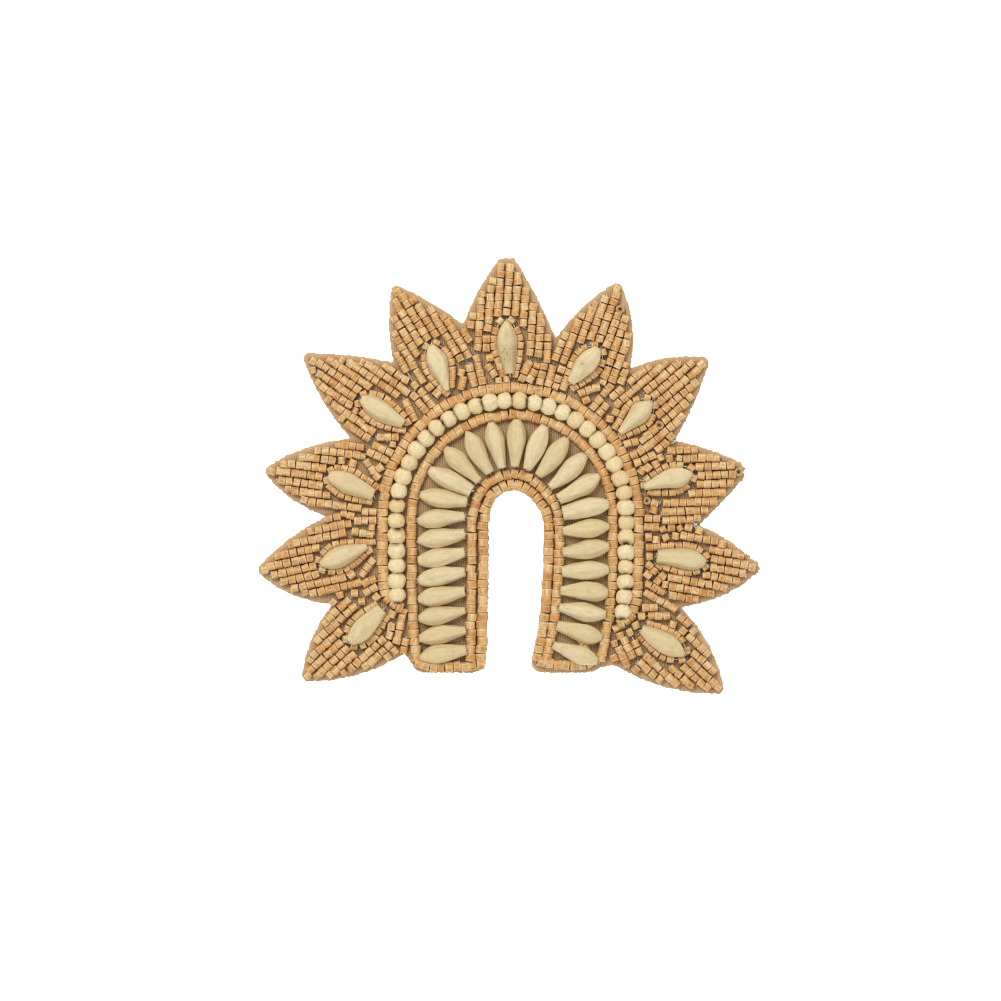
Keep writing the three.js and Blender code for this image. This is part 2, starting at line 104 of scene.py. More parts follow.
def relaxed(rim: list[complex]) -> list[complex]:
    """A closed outline with each place drawn towards its two neighbours."""
    return [(rim[i - 1] + 2 * here + rim[(i + 1) % len(rim)]) / 4 for i, here in enumerate(rim)]


def band(here: int, there: int, sides: int) -> list[tuple[int, ...]]:
    """The faces between two rings of vertices, given by the number of each ring's first one."""
    besides = [(k, (k + 1) % sides) for k in range(sides)]
    return [(here + k, here + beside, there + beside, there + k) for k, beside in besides]


def linear(red: int, green: int, blue: int) -> tuple[float, float, float, float]:
    """A paint-chart colour of 0 to 255 as the linear colour that a shader takes."""
    parts = [value / 255 for value in (red, green, blue)]
    bent = [p / 12.92 if p <= 0.04045 else ((p + 0.055) / 1.055) ** 2.4 for p in parts]
    return (bent[0], bent[1], bent[2], 1.0)


class Wood(Enum):
    """The two woods that the beads are cut from."""

    BARREL = "barrel_wood"
    PALE = "pale_wood"


class Stage(Enum):
    """Steps in which a petal's beads are sewn."""

    RING = "ring"
    TIP = "tip"
    VALLEY = "valley"
    ROOT = "root"
    ODD = "odd"


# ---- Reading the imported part


@dataclass
class Spindle:
    """The place of a marquise bead: its middle, the way its outer end points, and its size."""

    centre: complex
    way: complex
    length: float
    width: float
    height: float
    ends: tuple[float, float] = (3.2, 2.4)

    def half_width(self, along: float) -> float:
        """Half the plan width at a distance from the middle, zero past the ends."""
        share = along / (self.length / 2)
        return 0.0 if abs(share) > 1 else self.width / 2 * self.fullness(share, -0.16, (1.5, 2.1))

    def fullness(self, share: float, shift: float, powers: tuple[float, float]) -> float:
        """Share of the full width, from -1 at the inner end to 1 at the outer end.

        Args:
            share: Where along the bead.
            shift: How far the widest place lies from the middle, negative towards the outer end.
            powers: How full the outline is towards the inner and the outer end.

        Returns:
            One at the widest place.
        """
        moved = share + shift * (1 - share * share)
        side = int(moved > 0)
        blunt = self.ends[side] / self.width
        return blunt + (1 - blunt) * (1 - abs(moved) ** powers[side])


def tuck(radius: float, rise: float = 2.3, bead: float = 1.7) -> float:
    """How near a small bead comes to a marquise bead's middle line, for it tucks in under the bulge.

    Args:
        radius: The marquise bead's radius there.
        rise: How much higher its middle lies than the small bead's.
        bead: The small bead's radius.

    Returns:
        The distance from the middle line to the small bead's near side.
    """
    return math.sqrt(max(0.0, (radius + bead) ** 2 - rise**2)) - bead


@dataclass
class PackedPart:
    """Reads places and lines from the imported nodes."""

    nodes: dict[str, bpy.types.Object]

    def triangles(self, node: str) -> np.ndarray:
        """The corners of a node's triangles, in millimetres.

        Args:
            node: The node's name.

        Returns:
            An array of triangles by corners by coordinates.
        """
        mesh = self.nodes[node].data
        mesh.calc_loop_triangles()
        places = np.empty(len(mesh.vertices) * 3, np.float32)
        mesh.vertices.foreach_get("co", places)
        corners = np.empty(len(mesh.loop_triangles) * 3, np.int32)
        mesh.loop_triangles.foreach_get("vertices", corners)
        return places.astype(float).reshape(-1, 3)[corners].reshape(-1, 3, 3) / MM

    def cloth_outline(self) -> list[complex]:
        """The cloth's outline, from the edges of its upper face."""
        corners = self.triangles("fabric_backing")
        top = corners[..., 2].max()
        ahead: dict[complex, complex] = {}
        for triangle in corners[(corners[..., 2] > top - 0.01).all(1)]:
            plan = [complex(round(x, 3), round(y, 3)) for x, y, _ in triangle]
            if dot((plan[1] - plan[0]) * 1j, plan[2] - plan[0]) < 0:
                plan.reverse()
            for start, end in zip(plan, plan[1:] + plan[:1]):
                ahead[(start, end)] = (end, start)
        rim = {edge[0]: edge[1] for edge, back in ahead.items() if back not in ahead}
        line = [next(iter(rim))]
        while rim[line[-1]] != line[0]:
            line.append(rim[line[-1]])
        return line

    def row_beads(self, node: str) -> list[complex]:
        """The middles of a row's small beads, in order along the row.

        Args:
            node: The name of a node that is one row of beads.

        Returns:
            The middle of each bead, which is where its ridge is.
        """
        corners = self.triangles(node)
        top = corners[..., 2].max() - 0.05
        ridges = set()
        for triangle in corners:
            high = sorted((round(x, 2), round(y, 2)) for x, y, z in triangle if z > top)
            if len(high) == 2 and high[0] != high[1]:
                ridges.add((high[0], high[1]))
        return chain([complex(a[0] + b[0], a[1] + b[1]) / 2 for a, b in sorted(ridges)])

    def round_beads(self, node: str) -> list[complex]:
        """The middles of the round beads, in order along their row."""
        corners = self.triangles(node)
        top = corners[..., 2].max() - 0.05
        middles = set()
        for triangle in corners[(corners[..., 2] > top).all(1)]:
            plan = [complex(x, y) for x, y, _ in triangle]
            sides = [(abs(a - b), (a + b) / 2) for a, b in zip(plan, plan[1:] + plan[:1])]
            middle = max(sides, key=lambda side: side[0])[1]
            middles.add((round(middle.real, 1), round(middle.imag, 1)))
        return chain([complex(*middle) for middle in sorted(middles)])

    def spindle(self, node: str, ends: tuple[float, float]) -> Spindle:
        """Where a marquise bead lies and how large it is.

        Args:
            node: The bead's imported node.
            ends: How wide its inner and its outer end are.

        Returns:
            Its place and size.
        """
        points = self.triangles(node).reshape(-1, 3)
        plan = points[:, 0] + 1j * points[:, 1]
        centre = complex((plan.real.min() + plan.real.max()) / 2, (plan.imag.min() + plan.imag.max()) / 2)
        offsets = plan - centre
        turn = 0.5 * np.angle((offsets**2).sum())
        way = complex(math.cos(turn), math.sin(turn))
        along = (offsets * way.conjugate()).real
        across = (offsets * way.conjugate()).imag
        outward = centre - ARCH_CENTRE
        if centre.imag < ARCH_CENTRE.imag and abs(outward.real) < 40:
            outward = complex(outward.real, 0)
        if dot(way, outward) < 0:
            way = -way
        size = (float(np.ptp(along)), float(np.ptp(across)), float(np.ptp(points[:, 2])))
        return Spindle(centre, way, *size, ends)


def chain(places: list[complex]) -> list[complex]:
    """Puts the places of one row in order, from one of its ends.

    Args:
        places: The middles of a row's beads, in any order.

    Returns:
        The same places, each next to its neighbours in the row.
    """
    left = list(places)
    pitch = sorted(sorted(abs(a - b) for b in left if b != a)[0] for a in left)[len(left) // 2]
    ends = [a for a in left if sum(0 < abs(a - b) < 1.45 * pitch for b in left) == 1]
    line = [min(ends or left, key=lambda a: (a.real, a.imag))]
    left.remove(line[0])
    while left:
        nearest = min(left, key=lambda a: abs(a - line[-1]))
        left.remove(nearest)
        line.append(nearest)
    return line


# ---- Laying out the beads


@dataclass
class Bead:
    """A small barrel bead on the plan: its middle, the way its hole runs, and its size."""

    at: complex
    way: complex
    length: float = 3.1
    width: float = 3.35
    rise: float = 3.1
    upright: bool = False

    def half_extent(self, axis: complex) -> float:
        """Half the room that the bead takes along an axis of length one."""
        return (
            abs(dot(self.way, axis)) * self.length + abs(dot(self.way * 1j, axis)) * self.width
        ) / 2

    def corners(self) -> list[complex]:
        """The four corners of the bead's plan."""
        ahead, side = self.way * self.length / 2, self.way * 1j * self.width / 2
        return [self.at + way for way in (ahead + side, side - ahead, -ahead - side, ahead - side)]

    def hits(self, other: "Bead", allow: float) -> bool:
        """Whether two beads overlap by more than an allowance, in millimetres."""
        gap = other.at - self.at
        if abs(gap) > 5.2:
            return False
        for axis in (self.way, self.way * 1j, other.way, other.way * 1j):
            if abs(dot(gap, axis)) >= self.half_extent(axis) + other.half_extent(axis) - allow:
                return False
        return True

    def hits_disc(self, middle: complex, radius: float) -> bool:
        """Whether the bead comes nearer to a point than a radius."""
        local = (middle - self.at) * self.way.conjugate()
        beyond = complex(
            max(0.0, abs(local.real) - self.length / 2), max(0.0, abs(local.imag) - self.width / 2)
        )
        return abs(beyond) < radius


@dataclass
class Ground:
    """The cloth that beads are sewn to, and what already lies on it."""

    outline: list[complex]
    margin: float = 0.45
    press: float = 0.38
    cell: float = 5.4
    taken: list[Bead] = field(default_factory=list)

    def __post_init__(self) -> None:
        """Keeps the outline's edges as arrays and starts with bare cloth."""
        self.starts = np.array(self.outline)
        self.edges = np.roll(self.starts, -1) - self.starts
        self.bead_cells: dict[tuple[int, int], list[Bead]] = {}
        self.disc_cells: dict[tuple[int, int], list[tuple[complex, float]]] = {}

    def cell_of(self, place: complex) -> tuple[int, int]:
        """The square of the plan that a place is in."""
        return (int(place.real // self.cell), int(place.imag // self.cell))

    def around(self, cells: dict[tuple[int, int], list[Any]], place: complex) -> list[Any]:
        """All that is noted in the squares at and beside a place."""
        i, j = self.cell_of(place)
        return [item for a in (i - 1, i, i + 1) for b in (j - 1, j, j + 1) for item in cells.get((a, b), ())]

    def put(self, bead: Bead) -> None:
        """Notes a sewn bead."""
        self.taken.append(bead)
        self.bead_cells.setdefault(self.cell_of(bead.at), []).append(bead)

    def block(self, middle: complex, radius: float) -> None:
        """Notes a round place that a larger bead takes."""
        self.disc_cells.setdefault(self.cell_of(middle), []).append((middle, radius))

    def depth(self, places: np.ndarray) -> np.ndarray:
        """How far inside the cloth each place is, below zero where it is off the cloth.

        Args:
            places: Plan places as complex numbers.

        Returns:
            One distance for each place.
        """
        gap = places[:, None] - self.starts[None, :]
        share = np.clip((gap * self.edges.conj()).real / np.abs(self.edges) ** 2, 0, 1)
        nearest = np.abs(gap - share * self.edges).min(1)
        ends = self.starts + self.edges
        above = self.starts.imag[None, :] > places.imag[:, None]
        crosses = above != (ends.imag[None, :] > places.imag[:, None])
        rise = np.where(self.edges.imag == 0, 1e-9, self.edges.imag)
        at = self.starts.real + self.edges.real * (places.imag[:, None] - self.starts.imag) / rise
        inside = (crosses & (places.real[:, None] < at)).sum(1) % 2 == 1
        return np.where(inside, nearest, -nearest)

    def lies(self, bead: Bead, press: float | None = None, margin: float | None = None) -> bool:
        """Whether a bead fits on the cloth, clear of all that is sewn already.

        Args:
            bead: The bead to try.
            press: How far it may press into its neighbours, in millimetres.
            margin: How far its corners keep from the cloth's edge.

        Returns:
            True where it fits.
        """
        allow = self.press if press is None else press
        keep = self.margin if margin is None else margin
        if any(bead.hits(other, allow) for other in self.around(self.bead_cells, bead.at)):
            return False
        if any(bead.hits_disc(*disc) for disc in self.around(self.disc_cells, bead.at)):
            return False
        return bool(self.depth(np.array([*bead.corners(), bead.at])).min() >= keep)


@dataclass
class Petal:
    """One petal: its marquise bead, its tip and the valleys on its two sides."""

    index: int
    spindle: Spindle
    tip: complex
    before: complex
    after: complex
    strand_gap: float = 3.48

    def sector_holds(self, place: complex, slack: float) -> bool:
        """Whether a place is between the petal's two valleys, or within a slack of them."""
        from_centre = place - ARCH_CENTRE
        sides = (unit(self.before - ARCH_CENTRE) * 1j, -unit(self.after - ARCH_CENTRE) * 1j)
        return dot(from_centre, sides[0]) < slack and dot(from_centre, sides[1]) < slack


@dataclass
class PetalSewing:
    """Sews the small beads of all petals, step by step as the needle went."""

    ground: Ground
    petals: list[Petal]
    arch: list[complex]
    bead_lengths: tuple[float, float] = (2.8, 3.3)
    bead_widths: tuple[float, float] = (3.3, 3.7)
    roof_size: tuple[float, float, float] = (2.8, 3.1, 3.6)
    roof_turn: float = 0.85
    root_slant: float = 0.56
    seed: int = 11
    strings: list[list[Bead]] = field(default_factory=list)

    def __post_init__(self) -> None:
        """Starts the draws of sizes and turns."""
        self.draw = random.Random(self.seed)
        self.owner: dict[int, list[Bead]] = {petal.index: [] for petal in self.petals}
        for petal in self.petals:
            for share in np.linspace(-0.5, 0.5, 25):
                along = float(share) * petal.spindle.length
                middle = petal.spindle.centre + petal.spindle.way * along
                room = tuck(petal.spindle.half_width(along)) - 0.35
                if room > 0.2:
                    self.ground.block(middle, room)

    def keep(self, petal: Petal, bead: Bead, string: list[Bead]) -> None:
        """Sews one bead to the petal and threads it on a string."""
        self.ground.put(bead)
        self.owner[petal.index].append(bead)
        string.append(bead)

    def fresh(self, at: complex, way: complex) -> Bead:
        """A bead with its own small differences in size and turn."""
        way = unit(way) * turned(self.draw.gauss(0, 0.06))
        return Bead(at, way, self.draw.uniform(*self.bead_lengths), self.draw.uniform(*self.bead_widths))

    def sew_line(self, petal: Petal, start: complex, way: complex, reach: float, slack: float) -> None:
        """Threads beads along a line, moving each on until it lies clear.

        Args:
            petal: The petal that the line belongs to.
            start: Where the line starts.
            way: The way it runs.
            reach: How far it runs, in millimetres.
            slack: How far beads may pass the petal's sector.
        """
        string: list[Bead] = []
        at, ahead, gone = start, unit(way), 0.0
        while gone < reach:
            bead = self.fresh(at, ahead)
            stride = 0.25
            if petal.sector_holds(at, slack) and self.ground.lies(bead):
                self.keep(petal, bead, string)
                stride = bead.length + 0.06
            elif len(string) > 1 and abs(string[-1].at - at) > 4.5:
                self.strings.append(string)
                string = []
            at += ahead * stride
            gone += stride
        if len(string) > 1:
            self.strings.append(string)

    def sew_ring(self, petal: Petal) -> None:
        """Threads the beads that ring a marquise bead, from its outer end down both sides."""
        spindle = petal.spindle
        half = spindle.length / 2
        steps = 90
        for side in (1, -1):
            string: list[Bead] = []
            line = []
            corner = spindle.centre + spindle.way * complex(half + 0.15, side * 2.15)
            roof = self.fresh(corner, spindle.way * turned(-side * self.roof_turn))
            roof.length, roof.width, roof.rise = self.roof_size
            self.keep(petal, roof, string)
            for i in range(steps + 1):
                along = half - 1.2 - (spindle.length - 0.3) * i / steps
                radius = spindle.half_width(max(-half, min(half, along)))
                off = max(1.75, tuck(radius) + 1.72)
                line.append(spindle.centre + spindle.way * complex(along, side * off))
            carried, want = 0.0, 0.0
            for i in range(1, steps):
                carried += abs(line[i] - line[i - 1])
                if carried < want:
                    continue
                back, front = line[max(0, i - 6)], line[min(steps, i + 6)]
                bead = self.fresh(line[i], front - back)
                bead.length, bead.width = bead.length * 0.92, min(bead.width, 3.3)
                if self.ground.lies(bead, press=0.6):
                    self.keep(petal, bead, string)
                    want = carried + bead.length + 0.02
            self.strings.append(string)

    def sew_tip(self, petal: Petal) -> None:
        """Threads the strands that run side by side out to the tip."""
        spindle = petal.spindle
        axis = unit(petal.tip - spindle.centre)
        order = sorted(range(-5, 5), key=lambda k: abs(k + 0.5))
        slip = self.draw.uniform(-0.5, 0.5)
        for k in order:
            across = (k + 0.5) * petal.strand_gap + slip
            low = -1.0 if abs(across) > 6 else 2.0
            start = spindle.centre + axis * complex(low + self.draw.uniform(-0.6, 0.6), across)
            reach = abs(petal.tip - spindle.centre) - self.draw.uniform(3.0, 4.5) - low
            self.sew_line(petal, start, axis, reach, 0.6)

    def sew_valleys(self, petal: Petal) -> None:
        """Threads a short strand from the border row out to each of the two valleys."""
        for valley, side in ((petal.before, -1), (petal.after, 1)):
            outward = unit(valley - ARCH_CENTRE)
            start = ARCH_CENTRE + outward * complex(BORDER_REACH, -side * petal.strand_gap / 2)
            self.sew_line(petal, start, outward, abs(valley - ARCH_CENTRE) - 53, 1.9)

    def sew_roots(self, petal: Petal) -> None:
        """Threads the slanting strands on both sides of a marquise bead's root end."""
        spindle = petal.spindle
        for side in (1, -1):
            way = spindle.way * turned(side * self.root_slant)
            for k in range(4):
                root = complex(-spindle.length / 2 - 3.2, side * (3.9 + k * 4.0))
                self.sew_line(petal, spindle.centre + spindle.way * root, way, 15, 1.2)

    def sew_odd(self, petal: Petal) -> None:
        """Sews odd beads where there is still room for one."""
        spindle = petal.spindle
        own = self.owner[petal.index]
        low = np.array([petal.tip, petal.before, petal.after, spindle.centre - spindle.way * 16])
        grid = [
            complex(x, y)
            for x in np.arange(low.real.min() - 3, low.real.max() + 3, 0.45)
            for y in np.arange(low.imag.min() - 3, low.imag.max() + 3, 0.45)
        ]
        places = np.array([p for p in grid if petal.sector_holds(p, 0.3)])
        places = places[(self.ground.depth(places) > 1.7) & (Ground(self.arch).depth(places) < 2)]
        for shrink in (1.0, 0.93, 0.86):
            closest = 2.8 * shrink
            beads = np.array([bead.at for bead in self.ground.taken])
            gaps = np.abs(places[:, None] - beads[None, :]).min(1)
            rooms = [complex(p) for p in places[(gaps > closest) & (gaps < 6)]]
            rooms.sort(key=lambda p: min(abs(p - bead.at) for bead in own))
            for place in rooms:
                near = min(own, key=lambda bead: abs(place - bead.at))
                if abs(near.at - place) < closest:
                    continue
                ways = [near.way * turn for turn in (1, complex(0.82, 0.57), complex(0.82, -0.57), 1j)]
                for way in ways:
                    bead = self.fresh(place, way)
                    bead.length *= shrink
                    bead.width *= shrink
                    if self.ground.lies(bead, press=0.36, margin=0.25):
                        self.keep(petal, bead, [])
                        break

    def sew(self) -> None:
        """Sews all the petals."""
        steps = {
            Stage.RING: self.sew_ring,
            Stage.TIP: self.sew_tip,
            Stage.VALLEY: self.sew_valleys,
            Stage.ROOT: self.sew_roots,
            Stage.ODD: self.sew_odd,
        }
        for stage in Stage:
            for petal in self.petals:
                steps[stage](petal)
        beads = [bead for own in self.owner.values() for bead in own]
        for place in UPRIGHT_BEADS:
            min(beads, key=lambda bead: abs(bead.at - place)).upright = True


# ---- Node trees


class Wiring:
    """Adds nodes to a tree and joins them."""

    def __init__(self, tree: bpy.types.NodeTree) -> None:
        """Works on one tree."""
        self.tree = tree

    def add(self, kind: str, inputs: dict[Any, Any] | None = None, **settings: Any) -> bpy.types.Node:
        """Adds a node.

        Args:
            kind: The node's type name.
            inputs: Values or sockets for its inputs, by name or number.
            settings: The node's own options.

        Returns:
            The new node.
        """
        node = self.tree.nodes.new(kind)
        for name, value in settings.items():
            setattr(node, name, value)
        for key, value in (inputs or {}).items():
            if isinstance(value, bpy.types.NodeSocket):
                self.tree.links.new(value, node.inputs[key])
            else:
                node.inputs[key].default_value = value
        return node

    def math(self, operation: str, *values: Any) -> bpy.types.NodeSocket:
        """A Math node on values or sockets, and its result."""
        return self.add("ShaderNodeMath", dict(enumerate(values)), operation=operation).outputs[0]

    def mix(self, factor: Any, first: Any, second: Any) -> bpy.types.NodeSocket:
        """A colour mix of two colours, and its result."""
        inputs = {0: factor, 6: first, 7: second}
        return self.add("ShaderNodeMix", inputs, data_type="RGBA").outputs[2]

    def noise(self, place: Any, scale: Any, detail: float, rough: float = 0.5) -> bpy.types.NodeSocket:
        """A Noise texture at a place, and its value."""
        inputs = {"Vector": place, "Scale": scale, "Detail": detail, "Roughness": rough}
        return self.add("ShaderNodeTexNoise", inputs).outputs["Fac"]

    def ramp(self, value: Any, low: float, high: float, start: float = 0.0, end: float = 1.0) -> Any:
        """A value carried over from one range to another, and the result."""
        inputs = {0: value, 1: low, 2: high, 3: start, 4: end}
        return self.add("ShaderNodeMapRange", inputs).outputs[0]

    def attribute(self, name: str, output: str = "Fac") -> bpy.types.NodeSocket:
        """A stored value of the mesh."""
        return self.add("ShaderNodeAttribute", attribute_name=name).outputs[output]

    def millimetres(self) -> bpy.types.NodeSocket:
        """The place on the object, in millimetres."""
        metres = self.add("ShaderNodeTexCoord").outputs["Object"]
        return self.add("ShaderNodeMapping", {0: metres, 3: (1 / MM, 1 / MM, 1 / MM)}).outputs[0]

    def surface(self, look: dict[str, Any], height: Any, strength: float, depth: float) -> None:
        """Ends a material with one surface.

        Args:
            look: The surface's inputs, by name.
            height: What raises it.
            strength: How strongly it is raised.
            depth: How high it is raised, in metres.
        """
        raising = self.add("ShaderNodeBump", {"Strength": strength, "Distance": depth, "Height": height})
        shader = self.add("ShaderNodeBsdfPrincipled", look | {"Normal": raising.outputs[0]})
        self.add("ShaderNodeOutputMaterial", {0: shader.outputs[0]})


def blank_material(name: str) -> tuple[bpy.types.Material, Wiring]:
    """A material with an empty tree, and the wiring that fills it."""
    material = bpy.data.materials.new(name)
    material.use_nodes = True
    material.node_tree.nodes.clear()
    return material, Wiring(material.node_tree)


def named_tree(name: str, kind: str, inputs: dict[str, str], outputs: dict[str, str]) -> bpy.types.NodeTree:
    """A node group with named sockets.

    Args:
        name: The group's name.
        kind: The type of node tree.
        inputs: The socket types of its inputs, by name.
        outputs: The socket types of its outputs, by name.

    Returns:
        The new group, still empty.
    """
    tree = bpy.data.node_groups.new(name, kind)
    for way, sockets in (("INPUT", inputs), ("OUTPUT", outputs)):
        for label, socket_type in sockets.items():
            tree.interface.new_socket(label, in_out=way, socket_type=socket_type)
    return tree


def bake_nodes(piece: bpy.types.Object, tree: bpy.types.NodeTree, values: dict[str, Any]) -> None:
    """Runs a geometry tree on a piece and keeps the result as its plain mesh.

    Args:
        piece: The object whose mesh the tree starts from.
        tree: The geometry tree.
        values: The modifier's inputs, by socket name.
    """
    modifier = piece.modifiers.new(tree.name, "NODES")
    modifier.node_group = tree
    for item in tree.interface.items_tree:
        if item.item_type == "SOCKET" and item.in_out == "INPUT" and item.name in values:
            modifier[item.identifier] = values[item.name]
    bpy.context.view_layer.update()
    graph = bpy.context.evaluated_depsgraph_get()
    mesh = bpy.data.meshes.new_from_object(
        piece.evaluated_get(graph), preserve_all_data_layers=True, depsgraph=graph
    )
    piece.modifiers.remove(modifier)
    old = piece.data
    piece.data = mesh
    mesh.name = piece.name
    bpy.data.meshes.remove(old)


def make_piece(name: str, vertices: Any, faces: Any, edges: Any = ()) -> bpy.types.Object:
    """A mesh object at the origin.

    Args:
        name: The piece's name.
        vertices: Places in millimetres.
        faces: Vertex numbers of each face, seen from outside counter-clockwise.
        edges: Vertex numbers of loose edges.

    Returns:
        The object, linked to the scene.
    """
    mesh = bpy.data.meshes.new(name)
    mesh.from_pydata((np.asarray(vertices, float) * MM).tolist(), [tuple(e) for e in edges], faces)
    mesh.update()
    mesh.polygons.foreach_set("use_smooth", [True] * len(faces))
    piece = bpy.data.objects.new(name, mesh)
    bpy.context.scene.collection.objects.link(piece)
    return piece


def store(piece: bpy.types.Object, name: str, values: Any, kind: str = "FLOAT") -> None:
    """Writes a value for each vertex of a piece, as a named attribute."""
    data = np.asarray(values, np.int32 if kind == "INT" else np.float32)
    attribute = piece.data.attributes.new(name, kind, "POINT")
    attribute.data.foreach_set("vector" if kind == "FLOAT_VECTOR" else "value", data.ravel())


# ---- Finishes


def grain_group() -> bpy.types.NodeTree:
    """Shader group for cut wood: growth rings, fibres, pores, small dents and a painted highlight towards the
    ends.
    """
    inputs = {"Place": "NodeSocketVector"} | dict.fromkeys(("Tone", "Ring Pitch", "Fibre"), "NodeSocketFloat")
    outputs = dict.fromkeys(("Shade", "Pores", "Worn", "Height"), "NodeSocketFloat")
    tree = named_tree("cut_wood_grain", "ShaderNodeTree", inputs, outputs)
    w = Wiring(tree)
    given = w.add("NodeGroupInput").outputs
    away = w.math("MULTIPLY", given["Tone"], 61.0)
    shift = w.add("ShaderNodeCombineXYZ", {0: away, 1: 0.0, 2: 0.0}).outputs[0]
    place = w.add("ShaderNodeVectorMath", {0: given["Place"], 1: shift}, operation="ADD").outputs[0]
    warp = w.noise(place, 0.35, 2.0)
    parts = w.add("ShaderNodeSeparateXYZ", {0: given["Place"]}).outputs
    radius = w.math("SQRT", w.math("ADD", w.math("POWER", parts[1], 2.0), w.math("POWER", parts[2], 2.0)))
    bent = w.math("ADD", radius, w.math("MULTIPLY", warp, 1.1))
    wave = w.math("SINE", w.math("DIVIDE", w.math("MULTIPLY", bent, FULL_TURN), given["Ring Pitch"]))
    rings = w.math("POWER", w.math("ADD", w.math("MULTIPLY", wave, 0.5), 0.5), 3.0)
    drawn = w.add("ShaderNodeVectorMath", {0: place, 1: (0.15, 1.0, 1.0)}, operation="MULTIPLY").outputs[0]
    fibre = w.noise(drawn, given["Fibre"], 4.0, 0.6)
    fleck = w.add("ShaderNodeVectorMath", {0: place, 1: (0.35, 1.0, 1.0)}, operation="MULTIPLY").outputs[0]
    mottle = w.noise(fleck, 0.9, 3.0)
    pores = w.ramp(w.noise(fleck, 2.6, 1.0), 0.64, 0.72)
    shade = w.math("MULTIPLY", rings, 0.35)
    for part in (fibre, mottle):
        shade = w.math("ADD", shade, w.math("MULTIPLY", w.math("SUBTRACT", part, 0.5), 1.7))
    height = w.math("ADD", w.math("MULTIPLY", fibre, 0.6), mottle)
    height = w.math("SUBTRACT", height, w.math("MULTIPLY", pores, 0.7))
    # Painted highlight: lighter towards the two ends along the bead, broken up by the mottle
    wear_and_highlight = w.ramp(w.math("ADD", w.math("ABSOLUTE", parts[0]), mottle), 1.25, 1.75)
    results = {"Shade": w.math("ADD", shade, 0.45), "Pores": pores, "Worn": wear_and_highlight, "Height": height}
    w.add("NodeGroupOutput", results)
    return tree


def shade_and_stain_group() -> bpy.types.NodeTree:
    """Shader group for painted shade at rims and holes, and for real stains."""
    inputs = {"Place": "NodeSocketVector"} | dict.fromkeys(("Rim", "Stain", "Amount"), "NodeSocketFloat")
    tree = named_tree("rim_dirt", "ShaderNodeTree", inputs, {"Mask": "NodeSocketFloat"})
    w = Wiring(tree)
    given = w.add("NodeGroupInput").outputs
    patch = w.noise(given["Place"], 1.7, 3.0)
    # Painted shade at rims and holes, broken up by noise
    rim = w.math("MULTIPLY", w.math("MULTIPLY", given["Rim"], given["Amount"]), w.math("ADD", patch, 0.45))
    speck = w.ramp(patch, 0.5, 0.66)
    stain = w.math("MULTIPLY", given["Stain"], w.math("ADD", w.math("MULTIPLY", speck, 0.75), 0.25))
    total = w.add("ShaderNodeMath", {0: rim, 1: stain}, operation="ADD", use_clamp=True).outputs[0]
    w.add("NodeGroupOutput", {"Mask": total})
    return tree


def weave_group() -> bpy.types.NodeTree:
    """Shader group for ribbed cloth: ribs that run up the cloth, crossed by fine threads."""
    inputs = {"Place": "NodeSocketVector"} | dict.fromkeys(("Rib Pitch", "Thread Pitch"), "NodeSocketFloat")
    outputs = dict.fromkeys(("Height", "Fuzz"), "NodeSocketFloat")
    tree = named_tree("ribbed_weave", "ShaderNodeTree", inputs, outputs)
    w = Wiring(tree)
    given = w.add("NodeGroupInput").outputs
    wander = w.noise(given["Place"], 0.22, 2.0)
    fuzz = w.noise(given["Place"], 5.5, 4.0, 0.7)
    parts = w.add("ShaderNodeSeparateXYZ", {0: given["Place"]}).outputs
    x = w.math("ADD", parts[0], w.math("MULTIPLY", wander, 1.6))
    y = w.math("ADD", parts[1], w.math("MULTIPLY", wander, 1.1))
    turn = w.math("DIVIDE", w.math("MULTIPLY", x, FULL_TURN), given["Rib Pitch"])
    half = w.math("SINE", w.math("MULTIPLY", turn, 0.5))
    phase = w.math("MULTIPLY", w.math("SIGN", half), FULL_TURN / 4)
    across = w.math("DIVIDE", w.math("MULTIPLY", y, FULL_TURN), given["Thread Pitch"])
    crossing = w.math("SINE", w.math("ADD", across, phase))
    woven = w.math("ADD", w.math("MULTIPLY", w.math("SINE", turn), 0.5), w.math("MULTIPLY", crossing, 0.5))
    w.add("NodeGroupOutput", {"Height": w.math("ADD", w.math("MULTIPLY", woven, 0.5), 0.5), "Fuzz": fuzz})
    return tree


